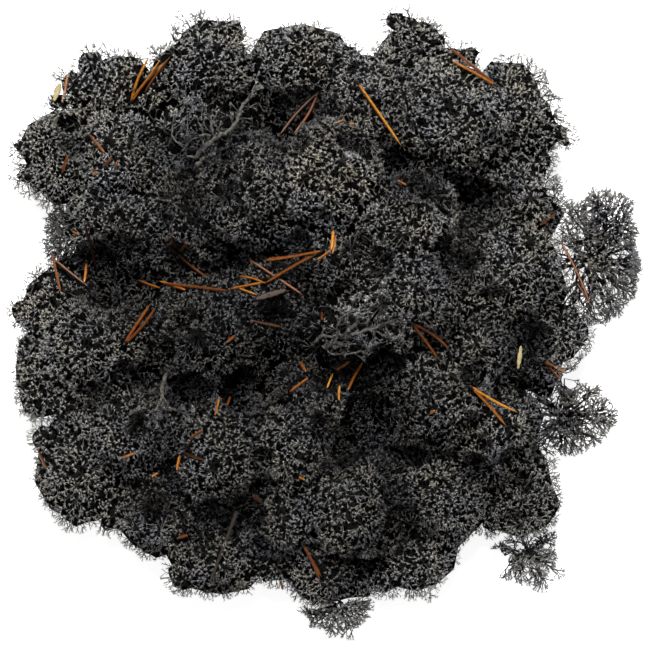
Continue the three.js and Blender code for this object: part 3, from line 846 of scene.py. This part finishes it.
def shares_seen(points):
    """The share to keep of each point: how well it shows in the view that shows it best."""
    shares = np.zeros(len(points))
    for elevation, turns, weight in LOOKS:
        slope = math.radians(elevation)
        for turn in range(turns):
            azimuth = 2 * math.pi * (turn + LOOK_TURN) / turns
            look = np.array([math.cos(azimuth) * math.cos(slope), math.sin(azimuth) * math.cos(slope),
                             math.sin(slope)])
            side = np.array([-math.sin(azimuth), math.cos(azimuth), 0])
            column, row = (np.floor((points @ way) / LOOK_CELL).astype(int)
                           for way in (side, np.cross(look, side)))
            cell = (column - column.min()) * LOOK_ROWS + row - row.min()
            front = np.full(cell.max() + 1, -FAR)
            toward = points @ look
            np.maximum.at(front, cell, toward)
            behind = front[cell] - toward
            shares = np.maximum(shares, weight * np.clip(2 - behind / LOOK_LAYER, 0, 1))
    return shares


def place_bulges(forms):
    """Gives each bulge to the tufts that it stands on. Each grows its own part of it."""
    for column, row, height, radius in BULGES:
        place = at_view(column, row, height)
        depths = {name: form.depth(place[None])[0] for name, form in forms.items()}
        for name, form in forms.items():
            if depths[name] > max(depths.values()) - radius:
                form.add_bulge(place, radius)
        forms[max(depths, key=depths.get)].bulges.append((place, radius))


def neighbour_tree(name, forms, skins):
    """The other tufts near this one, as one tree to look for walls in."""
    points, faces, count = [], [], 0
    for other, (skin_points, skin_faces) in skins.items():
        apart = np.linalg.norm(forms[other].middle[:2] - forms[name].middle[:2])
        if other != name and apart < NEIGHBOUR:
            points.append(skin_points)
            faces.append(skin_faces + count)
            count += len(skin_points)
    return BVHTree.FromPolygons(np.concatenate(points).tolist(), np.concatenate(faces).tolist())


def spray_ends(growth, place, heading, length, width, forks, rng):
    """Forks a branch again and again, and gives the places and headings of its ends."""
    branches, ends = [(place, heading, length, width, forks)], []
    while branches:
        place, heading, length, width, forks = branches.pop()
        end = place + heading * length
        end[2] = max(end[2], LOWEST_STAR)
        bend = (place + end) / 2 + rng.normal(0, SPRAY_BEND * length, 3)
        bend[2] = max(bend[2], LOWEST_SPRAY)
        path = np.array([place, bend, end])
        widths = [width, 0.92 * width, 0.85 * width]
        growth.add_tube(path, widths, [0.1 + 0.06 * forks] * 3, sides=4)
        if forks == 0:
            ends.append((end, heading))
            continue
        for _ in range(rng.choice(SPRAY_FORKS)):
            turned = unit(heading + rng.normal(0, SPRAY_TURN, 3) * np.array([1, 1, 0.7]))
            shorter = length * rng.uniform(*SPRAY_STEP)
            branches.append((end, turned, shorter, width * SPRAY_THINNING, forks - 1))
    return ends


def add_spray(growth, place, heading, length, width, forks, rng):
    """A spray of branches that ends in stars."""
    ends = spray_ends(growth, place, unit(heading), length, width, forks, rng)
    places, along = (np.array(part) for part in zip(*ends))
    across = unit(np.cross(along, np.array([0.1, 0.2, 1.0])))
    rings = growth.add_rings(places, along, across, WIDTHS[0], STAR_AGE)
    add_star_tips(growth, places, along, across, rings, rng, 1.0)


def add_stems(name, growth, rng):
    """Bare older stems that lie in the open tufts, with sprays along them and at their ends."""
    for width, stops in STEMS.get(name, []):
        points = np.array([at_view(*stop) for stop in stops])
        numbers = np.arange(len(points))
        steps = np.linspace(0, numbers[-1], 4 * numbers[-1] + 1)
        path = np.stack([np.interp(steps, numbers, points[:, k]) for k in range(3)], 1)
        path[1:-1] = (path[:-2] + 2 * path[1:-1] + path[2:]) / 4
        path[1:-1] += rng.normal(0, STEM_STRAY, path[1:-1].shape)
        widths = np.linspace(width, 0.6 * width, len(path))
        widths = widths * (1 + STEM_KNOTS * rng.normal(0, 1, len(path)))
        growth.kind = STEM_KIND
        growth.add_tube(path, widths, np.linspace(0.3, 0.2, len(path)), sides=7)
        growth.kind = 0
        way = unit(path[-1] - path[-3])
        upward = way + np.array([0, 0, 0.2])
        add_spray(growth, path[-1], upward, END_SPRAY_LENGTH, 0.5 * width, 3, rng)
        for place in path[2:-1:2]:
            stray = rng.normal(0, 0.9, 3) * np.array([1, 1, 0.3])
            aside = unit(way + stray + np.array([0, 0, 0.25]))
            add_spray(growth, place, aside, *SIDE_SPRAY, rng)


def add_sprigs(name, growth, rng):
    """Thin sprigs that reach out of a tuft."""
    for first, last in SPRIGS.get(name, []):
        start, end = at_view(*first), at_view(*last)
        way = end - start
        reach = np.linalg.norm(way)
        foot = start + way * np.array([[0], [0.35]])
        growth.add_tube(foot, SPRIG_WIDTHS[:2], [0.3, 0.25], sides=4)
        add_spray(growth, start + 0.3 * way, way / reach, 0.34 * reach, SPRIG_WIDTHS[2], 3, rng)


# ---------------- litter


class Surface:
    """The tops of the branches: litter lies on them, and what lies deep under them gets painted shade.
    """

    def __init__(self, stars):
        self.stars = stars
        tops = np.zeros((2 * TOP_CELLS, 2 * TOP_CELLS))
        np.maximum.at(tops, self.cells(stars), stars[:, 2])
        self.tops = np.mean(shifted(np.max(shifted(tops, 2), 0), 2), 0)

    def cells(self, points):
        cells = np.clip(np.floor(points[:, :2] / TOP_CELL) + TOP_CELLS, 0, 2 * TOP_CELLS - 1)
        return tuple(cells.astype(int).T)

    def below_top(self, points):
        """How far each point lies below the tops of the heads round it."""
        return self.tops[self.cells(points)] - points[:, 2]

    def height(self, place):
        """How high the stars stand round a place, looked for ever farther out till some are met."""
        apart = np.hypot(*(self.stars[:, :2] - place[:2]).T)
        near = LITTER_NEAR
        while not (apart < near).any():
            near *= 1.5
        return np.quantile(self.stars[apart < near, 2], LITTER_HEIGHT)

    def lay(self, start, end):
        """The straight line from start to end (pixels of the view) that rests on the branches."""
        share = np.linspace(0, 1, LITTER_STOPS)
        heights = np.full(LITTER_STOPS, LITTER_GUESS)
        for _ in range(2):
            ends = [at_view(*start, heights[0]), at_view(*end, heights[-1])]
            places = ends[0] + (ends[1] - ends[0]) * share[:, None]
            heights = np.array([self.height(place) for place in places])
        lowest = None
        for i in range(LITTER_STOPS // 2):
            for j in range(LITTER_STOPS // 2 + 1, LITTER_STOPS):
                slope = (heights[j] - heights[i]) / (share[j] - share[i])
                line = heights[i] + slope * (share - share[i])
                worst = (heights - line).max()
                if lowest is None or worst < lowest[0]:
                    lowest = (worst, line[0], line[-1])
        return at_view(*start, lowest[1] + LITTER_GAP), at_view(*end, lowest[2] + LITTER_GAP)


def add_needle(growth, shades, start, end, shade, rng, width=NEEDLE_WIDTH):
    """A dry pine needle: half-round, bowed a little and pointed at its end."""
    length = np.linalg.norm(end - start)
    share = np.linspace(0, 1, 13)
    way = (end - start) / length
    bow = np.cross(way, [0, 0, 1]) * rng.normal(0, NEEDLE_BOW) * length
    path = start + (end - start) * share[:, None] + bow * np.sin(math.pi * share)[:, None]
    widths = width * np.minimum(1, np.minimum(0.55 + 3 * share, 0.12 + 5 * (1 - share)))
    growth.add_tube(path, widths, share, sides=LITTER_SIDES, flat=NEEDLE_FLATNESS)
    turns = 2 * math.pi * np.arange(LITTER_SIDES) / LITTER_SIDES
    # Painted highlight along one side of the needle and painted shade along the other
    painted_lit_side = NEEDLE_PAINTED_LIGHT_SIDE * np.cos(turns + rng.uniform(0, 2 * math.pi))
    shades.append((shade + NEEDLE_FADING * share[:, None] + painted_lit_side).ravel())


def add_sheath(growth, shades, start, way, rng):
    """The short brown sheath that holds a pair of needles."""
    share = np.linspace(0, 1, len(SHEATH_SHAPE))
    path = start + way * ((share[:, None] - 0.15) * SHEATH_LENGTH)
    widths = SHEATH_WIDTH * np.array(SHEATH_SHAPE) * rng.uniform(0.9, 1.1, len(share))
    growth.add_tube(path, widths, share, sides=LITTER_SIDES)
    shades.append(np.full(LITTER_SIDES * len(share), SHEATH_SHADE))


def litter_object(name, growth, shades, material, slot):
    made = mesh_object(name, growth, [material], np.concatenate(shades))
    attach(made, "root")
    return made


@functools.lru_cache(maxsize=None)
def litter_place(node, plan):
    """A place on a litter node's middle line, from its place in the model's own plan."""
    corners = np.array([v.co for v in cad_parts[node].data.vertices]) / MM
    place = np.add(plan, CAD_SHIFT)
    apart = np.hypot(*(corners[:, :2] - place).T)
    return np.array([*place, corners[apart < apart.min() + 2, 2].mean()])


def add_needle_pairs(material):
    for name, (sheath, ends, shade) in NEEDLE_PAIRS.items():
        rng = seeded(name)
        growth, shades = Growth(), []
        start = litter_place(name, sheath)
        for end in ends:
            tip = litter_place(name, end)
            add_needle(growth, shades, start, tip, shade + rng.normal(0, 0.06), rng)
        add_sheath(growth, shades, start, unit(tip - start), rng)
        made = litter_object(name.replace("needles_", "pine_"), growth, shades, material, "pine_needle")
        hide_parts(name)


def add_twig(material):
    """The twig, bent a little and knotty, with a short stub."""
    name = "twig_south_west"
    rng = seeded(name)
    start, end = (litter_place(name, place) for place in TWIG_ENDS)
    share = np.linspace(0, 1, TWIG_STOPS)
    path = start + (end - start) * share[:, None] + rng.normal(0, 0.16, (TWIG_STOPS, 3))
    knots = 0.35 * np.abs(np.sin(13 * share)) ** 8
    widths = TWIG_WIDTH - 0.7 * share + knots + rng.normal(0, 0.06, TWIG_STOPS)
    growth = Growth()
    growth.add_tube(path, widths, share, sides=9)
    stub = path[STUB_STOP] + np.array([[0.0, 0, 0], [1.6, -0.9, 0.5], [3.0, -2.4, 0.9]])
    growth.add_tube(stub, [1.1, 0.9, 0.7], [0.3, 0.35, 0.4], sides=7)
    made = litter_object("twig", growth, [np.zeros(growth.count)], material, "twig")
    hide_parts(name)


def add_needle_bits(surface, material):
    growth, shades = Growth(), []
    for index, (start, end, shade) in enumerate(NEEDLE_BITS):
        rng = seeded(f"bit {index}")
        low, high = surface.lay(start, end)
        add_needle(growth, shades, low, high, shade, rng, NEEDLE_WIDTH * rng.uniform(0.75, 1.05))
    litter_object("needle_bits", growth, shades, material, "pine_needle")


def add_flakes(surface, bark, leaf):
    """A scrap of bark and pale bits of leaf: flat, ragged and a little curled."""
    kinds = {"bark": (bark, "twig"), "leaf": (leaf, "pine_needle")}
    for name, (start, end, width, kind) in FLAKES.items():
        rng = seeded(name)
        low, high = surface.lay(start, end)
        share = np.linspace(0, 1, FLAKE_STOPS)
        path = low + (high - low) * share[:, None]
        path[:, 2] += 0.5 + 0.8 * np.sin(math.pi * share) + rng.normal(0, 0.12, FLAKE_STOPS)
        outline = np.sin(math.pi * (0.06 + 0.88 * share)) ** 0.6
        widths = width * outline * rng.uniform(0.8, 1.15, FLAKE_STOPS)
        growth = Growth()
        growth.add_tube(path, widths, share, sides=LITTER_SIDES, flat=FLAKE_FLATNESS)
        litter_object(name, growth, [np.full(growth.count, 0.5)], *kinds[kind])


# ---------------- materials


class Material:
    """A material in the making: each step adds a node and gives what that node puts out."""

    def __init__(self, name, sockets):
        self.made = bpy.data.materials.new(name)
        self.made.use_nodes = True
        self.tree = self.made.node_tree
        self.shader = self.tree.nodes["Principled BSDF"]
        self.feed(self.shader, sockets)

    def feed(self, node, sockets):
        """Sets sockets of a node, each to a constant or to what another node puts out."""
        for name, value in sockets.items():
            if isinstance(value, bpy.types.NodeSocket):
                self.tree.links.new(value, node.inputs[name])
            else:
                node.inputs[name].default_value = value

    def add(self, kind, output, sockets, **settings):
        node = self.tree.nodes.new("ShaderNode" + kind)
        for name, value in settings.items():
            setattr(node, name, value)
        self.feed(node, sockets)
        return node.outputs[output]

    def attribute(self, name):
        return self.add("Attribute", "Fac", {}, attribute_name=name)

    def texture(self, kind, output, scale, detail, **settings):
        place = self.add("TexCoord", "Object", {})
        sockets = {"Vector": place, "Scale": scale, "Detail": detail}
        return self.add(kind, output, sockets, **settings)

    def noise(self, scale, detail):
        return self.texture("TexNoise", "Fac", scale, detail)

    def ramp(self, value, *stops):
        """A colour for each value. A stop is a value and its colour."""
        colour = self.add("ValToRGB", "Color", {"Fac": value})
        elements = colour.node.color_ramp.elements
        elements[0].position, elements[1].position = stops[0][0], stops[-1][0]
        for position, _ in stops[1:-1]:
            elements.new(position)
        for element, (_, shown) in zip(elements, stops):
            element.color = (*shown, 1)
        return colour

    def graded(self, value, last, low, high):
        """From low where the value is 0 to high where it is last."""
        sockets = {"Value": value, "From Max": last, "To Min": low, "To Max": high}
        return self.add("MapRange", "Result", sockets)

    def multiplied(self, *colours):
        product = colours[0]
        for colour in colours[1:]:
            sockets = {"Factor": 1, "A": product, "B": colour}
            product = self.add("Mix", "Result", sockets, data_type="RGBA", blend_type="MULTIPLY")
        return product

    def finished(self, colour, height, strength, distance, **settings):
        """Sets the colour and the bump, and gives the material."""
        sockets = {"Height": height, "Strength": strength, "Distance": distance}
        bump = self.add("Bump", "Normal", sockets, **settings)
        self.feed(self.shader, {"Base Color": colour, "Normal": bump})
        return self.made


def lichen_material():
    """Living branches: pale and shiny at the tips by their own tone, darker down them as painted shade;
    the shade attribute adds painted shade, painted light and olive.
    """
    lichen = Material("lichen", {})
    age, shade = lichen.attribute("age"), lichen.attribute("shade")
    # Paler tips are the branches' own tone; the fall to near black down the branches is painted shade
    aged_and_depth_shaded = lichen.ramp(age, (0.0, (0.26, 0.257, 0.245)), (STAR_AGE, (0.083, 0.082, 0.078)),
                       (0.2, (0.029, 0.0285, 0.0275)), (0.4, (0.006, 0.0058, 0.0056)),
                       (0.7, (0.002, 0.002, 0.002)))
    patches = lichen.ramp(lichen.noise(45, 4), (0.35, (0.85, 0.88, 1.0)), (0.65, (1.1, 1.03, 0.9)))
    # The shade attribute: the dark end is painted shade, the pale stop painted light, the olive end the
    # tips' own cast
    cast = lichen.ramp(shade, (0.0, (0.34, 0.34, 0.36)), (0.5, (1.0, 1.0, 1.0)),
                       (0.75, (1.6, 1.59, 1.55)), (1.0, (1.24, 1.18, 0.98)))
    specks = lichen.ramp(lichen.noise(950, 1), (0.38, (0.6, 0.6, 0.6)), (0.62, (1.36, 1.35, 1.32)))
    # The shine drops with the painted shade and down the branches, so that painted shade also dims
    # their reflections
    gloss_in_painted_shade = lichen.graded(shade, 0.5, 0.1, 0.62)
    dulled_in_depth_shade = lichen.graded(age, 0.3, 1.1, 0.2)
    shine = lichen.add("Math", "Value", {0: gloss_in_painted_shade, 1: dulled_in_depth_shade}, operation="MULTIPLY")
    roughness = lichen.graded(age, 0.3, 0.24, 0.75)
    lichen.feed(lichen.shader, {"Roughness": roughness, "Specular IOR Level": shine})
    colour = lichen.multiplied(aged_and_depth_shaded, patches, cast, specks)
    return lichen.finished(colour, lichen.noise(1600, 2), 0.5, 0.0002)


def painted_shade_stalk_material():
    """Old stalks inside a tuft as painted shade: a net of dark grey strands on near black, dim as in
    shadow.
    """
    old = Material("old_stalks_painted_shade", {"Roughness": 0.9, "Specular IOR Level": 0.0})
    strands = old.texture("TexVoronoi", "Distance", 330, 1, feature="DISTANCE_TO_EDGE")
    colour = old.ramp(strands, (0.04, (0.005, 0.005, 0.0048)), (0.12, (0.0006, 0.0006, 0.0006)))
    return old.finished(colour, strands, 0.8, 0.0008, invert=True)


def stem_material():
    """Bare old stems: dull brown-grey, rough like fine bark."""
    bare = Material("bare_stem", {"Roughness": 0.75, "Specular IOR Level": 0.25})
    rough = bare.noise(620, 4)
    colour = bare.ramp(rough, (0.36, (0.010, 0.009, 0.007)), (0.68, (0.056, 0.053, 0.043)))
    return bare.finished(colour, rough, 0.7, 0.0005)


def litter_material(name, colours, roughness, fineness):
    """Dry needle, bark or leaf: colour by shade, broken up by fine fibres."""
    litter = Material(name, {"Roughness": roughness, "Specular IOR Level": 0.18})
    fibres = litter.noise(fineness, 5)
    shade = litter.attribute("shade")
    lowered = litter.add("Math", "Value", {0: shade, 1: 0.35}, operation="SUBTRACT")
    mixed = litter.add("Math", "Value", {0: fibres, 1: 0.7, 2: lowered}, operation="MULTIPLY_ADD")
    last = len(colours) - 1
    colour = litter.ramp(mixed, *((k / last, colours[k]) for k in range(last + 1)))
    return litter.finished(colour, fibres, 0.36, 0.0002)


def nearness(points, spots):
    """How near each point is to the middle of a spot, from 0 to 1, seen from above."""
    value = np.zeros(len(points))
    for column, row, radius, strength in spots:
        middle = at_view(column, row, FOCUS_HEIGHT)
        apart = np.hypot(*(points[:, :2] - middle[:2]).T)
        value = np.maximum(value, strength * np.clip(SPOT_EDGE - apart / radius, 0, 1))
    return value


def lichen_shades(points, surface, airy):
    """0 where branches get the most painted shade, 0.5 where plain, 0.75 where paler with painted
    light, 1 where olive.
    """
    # Painted shade deep under the head tops (less at the rim), in its spots and on airy tufts; painted
    # light at the rim and in its spots; olive is the tips' own cast
    rim = np.clip((np.hypot(*points[:, :2].T) - RIM_START) / RIM_WIDTH, 0, 1)
    deep = np.clip((surface.below_top(points) - LIGHT_DEPTH) / DARK_DEPTH, 0, 1)
    dark = deep * (1 - RIM_LIGHT * rim) + nearness(points, PAINTED_SHADE_SPOTS)
    dark = np.clip(dark + (AIRY_DARKNESS if airy else 0), 0, 1)
    olive = nearness(points, WARM_SPOTS)
    painted_light = np.maximum(nearness(points, PAINTED_LIGHT_SPOTS), RIM_PAINTED_LIGHT * rim)
    return 0.5 - 0.5 * dark + (1 - dark) * np.maximum(0.5 * olive, 0.25 * painted_light)


def mesh_object(name, growth, materials, shades=None):
    """The object of a piece, in metres, with its ages and shades for the materials."""
    points = np.concatenate(growth.points) * MM
    points[:, 2] = np.maximum(points[:, 2], 0)
    triangles = np.concatenate(growth.triangles).astype(np.int32)
    mesh = bpy.data.meshes.new(name)
    mesh.vertices.add(len(points))
    mesh.vertices.foreach_set("co", points.astype(np.float32).ravel())
    mesh.loops.add(len(triangles) * 3)
    mesh.loops.foreach_set("vertex_index", triangles.ravel())
    mesh.polygons.add(len(triangles))
    mesh.polygons.foreach_set("loop_start", np.arange(len(triangles), dtype=np.int32) * 3)
    mesh.update(calc_edges=True)
    shades = np.zeros(len(points)) if shades is None else shades
    for kind, values in (("age", np.concatenate(growth.ages)), ("shade", shades)):
        layer = mesh.attributes.new(kind, "FLOAT", "POINT")
        layer.data.foreach_set("value", values.astype(np.float32))
    for material in materials:
        mesh.materials.append(material)
    mesh.polygons.foreach_set("material_index", np.concatenate(growth.kinds).astype(np.int32))
    return linked(name, mesh)


# ---------------- the clump


def sprouted(forms, hollows):
    """The stars of every tuft with their hearts, thinned out where they show least."""
    sprouts = {}
    for name, form in forms.items():
        near = [other for other in forms.values() if other is not form
                and np.linalg.norm(other.middle[:2] - form.middle[:2]) < NEAR_TUFT]
        spacing = STAR_SPACING * (OPEN_COARSE if name in OPEN else 1.0)
        sprouts[name] = star_points(form, near, hollows, seeded(name), spacing)
    add_low_stars(forms, sprouts)
    shares = shares_seen(np.concatenate([stars for stars, _ in sprouts.values()]))
    shares *= min(1, STARS_IN_ALL / shares.sum())
    start = 0
    for name, (stars, hearts) in sprouts.items():
        share = AIRY_SHARE if name in AIRY else shares[start:start + len(stars)]
        seen = seeded(name + "thinning").uniform(0, 1, len(stars)) < share
        start += len(stars)
        sprouts[name] = stars[seen], hearts[seen]
    return sprouts


def add_tufts():
    """Every tuft and the mat under them. Gives the surface that litter lies on."""
    tufts = sorted(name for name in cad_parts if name.startswith("tuft_"))
    forms = {name: Form(name) for name in tufts}
    skins = {name: form.skin() for name, form in forms.items()}
    trees = {name: neighbour_tree(name, forms, skins) for name in tufts}
    for name, form in forms.items():
        form.spread_to(trees[name])
        form.place_lumps(seeded(name + "lumps"))
    place_bulges(forms)
    hollows = Hollows(forms)
    sprouts = sprouted(forms, hollows)
    surface = Surface(np.concatenate([stars for stars, _ in sprouts.values()]))
    living, dark, bare = lichen_material(), painted_shade_stalk_material(), stem_material()
    add_mat(forms, dark)
    for name, form in forms.items():
        rng = seeded(name + "growth")
        stars, hearts = sprouts[name]
        coarse = OPEN_COARSE if name in OPEN else AIRY_COARSE if name in AIRY else 1.0
        growth = Growth()
        grow(form, stars, hearts, rng, growth, coarse)
        add_stems(name, growth, rng)
        add_sprigs(name, growth, rng)
        if name not in AIRY:
            # The dark core: painted shade for the shaded inside of the tuft
            growth.kind = CORE_KIND
            for core, core_faces in form.cores(hollows, rng):
                first = growth.add_points(core, OLD_AGE)
                growth.add_triangles(*(core_faces.T + first))
        shades = lichen_shades(np.concatenate(growth.points), surface, name in AIRY)
        made = mesh_object(name.replace("tuft_", "lichen_"), growth, [living, dark, bare], shades)
        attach(made, "root")
        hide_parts(name)
    return surface


def add_litter(surface):
    needle = litter_material("dry_needle", NEEDLE_COLOURS, 0.38, 900)
    bark = litter_material("bark", BARK_COLOURS, 0.85, 1400)
    leaf = litter_material("dry_leaf", LEAF_COLOURS, 0.6, 700)
    add_needle_pairs(needle)
    add_twig(bark)
    add_needle_bits(surface, needle)
    add_flakes(surface, bark, leaf)


def ground_cells(forms, inset):
    """A grid of places under the tufts, and which of them lie that many cells inside the clump."""
    axis = np.arange(-MAT_REACH, MAT_REACH + MAT_CELL, MAT_CELL)
    across, up = np.meshgrid(axis, axis, indexing="ij")
    places = np.stack([across.ravel(), up.ravel(), np.full(across.size, MAT_TOP)], 1)
    covered = np.zeros(across.size, bool)
    for name, form in forms.items():
        if name not in AIRY:
            covered |= form.depth(places) > 0
    covered = np.any(shifted(covered.reshape(across.shape), 2), axis=0)
    return places, np.all(shifted(covered, 2 + inset), axis=0)


def add_low_stars(forms, sprouts):
    """Low branches between the tufts, each grown by the tuft that it is nearest to."""
    places, inside = ground_cells(forms, LOW_INSET)
    rng = seeded("low branches")
    places = places[inside.ravel()]
    each = int((MAT_CELL / STAR_SPACING) ** 2)
    stars = np.repeat(places, each, 0)
    stars[:, :2] += rng.uniform(-0.5, 0.5, (len(stars), 2)) * MAT_CELL
    height, size = LOW_WAVES
    stars[:, 2] = LOW_TOP + height * waves(stars, size, rng)
    stars[:, 2] += rng.uniform(-LOW_STRAY, LOW_STRAY, len(stars))
    solid = [name for name in forms if name not in AIRY]
    owner = np.argmax([forms[name].depth(stars) for name in solid], 0)
    for index, name in enumerate(solid):
        own = stars[owner == index]
        hearts = (1 - LOW_LEAN) * own + LOW_LEAN * forms[name].middle
        hearts[:, 2] = own[:, 2] - LOW_HEART
        old_stars, old_hearts = sprouts[name]
        sprouts[name] = np.vstack([old_stars, own]), np.vstack([old_hearts, hearts])


def add_mat(forms, material):
    """A thin rough mat of dead stalks that closes the ground between the tufts, near black as painted
    shade.
    """
    places, inside = ground_cells(forms, MAT_INSET)
    rng = seeded("mat")
    growth = Growth()
    numbers = np.where(inside, np.cumsum(inside).reshape(inside.shape) - 1, -1)
    top = places[inside.ravel()] + rng.uniform(-MAT_STRAY, MAT_STRAY, (inside.sum(), 3))
    over = growth.add_points(top, OLD_AGE)
    under = growth.add_points(top - np.array([0, 0, MAT_THICKNESS]), OLD_AGE)
    cells = np.stack([numbers[:-1, :-1], numbers[1:, :-1], numbers[1:, 1:], numbers[:-1, 1:]], -1)
    cells = cells[(cells >= 0).all(-1)]
    a, b, c, d = cells.T
    faces = ((over, (a, b, c)), (over, (a, c, d)), (under, (a, c, b)), (under, (a, d, c)))
    for first, corners in faces:
        growth.add_triangles(*(corner + first for corner in corners))
    edges = {(i, j) for cell in cells.tolist() for i, j in zip(cell, cell[1:] + cell[:1])}
    i, j = np.array([(i, j) for i, j in edges if (j, i) not in edges]).T
    growth.add_triangles(i + under, j + under, j + over)
    growth.add_triangles(i + under, j + over, i + over)
    made = mesh_object("stalk_mat_painted_shade", growth, [material])
    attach(made, "root")


def add_studio():
    """A plain white floor, a pale world and one soft light."""
    floor_mesh = bpy.data.meshes.new("floor")
    corners = [(x * FLOOR_REACH, y * FLOOR_REACH, 0) for x, y in ((-1, -1), (1, -1), (1, 1), (-1, 1))]
    floor_mesh.from_pydata(corners, [], [(0, 1, 2, 3)])
    floor = linked("floor", floor_mesh)
    white = {"Base Color": (0.6, 0.6, 0.6, 1), "Roughness": 0.9,
             "Emission Color": (1, 1, 1, 1), "Emission Strength": FLOOR_GLOW}
    floor_mesh.materials.append(Material("floor_white", white).made)

    world = bpy.data.worlds.new("studio")
    bpy.context.scene.world = world
    world.use_nodes = True
    background = world.node_tree.nodes["Background"]
    background.inputs["Color"].default_value = (1, 1, 1, 1)
    background.inputs["Strength"].default_value = WORLD_STRENGTH

    light = bpy.data.lights.new("key", "AREA")
    light.energy = LIGHT_POWER
    light.size = LIGHT_SIZE
    lamp = linked("key", light)
    lamp.location = LIGHT_PLACE
    lamp.rotation_mode = "QUATERNION"
    lamp.rotation_quaternion = (-Vector(LIGHT_PLACE)).to_track_quat("-Z", "Y")


def add_camera():
    camera_data = bpy.data.cameras.new("camera")
    camera = linked("camera", camera_data)
    camera.location = Vector((*VIEW_MIDDLE, CAMERA_HEIGHT)) * MM
    camera_data.sensor_width = SENSOR
    camera_data.lens = SENSOR * (CAMERA_HEIGHT - FOCUS_HEIGHT) / (VIEW_PIXELS * PIXEL)
    camera_data.clip_end = VIEW_END
    bpy.context.scene.camera = camera
    bpy.context.scene.view_settings.view_transform = "Standard"


add_camera()
add_studio()
add_litter(add_tufts())
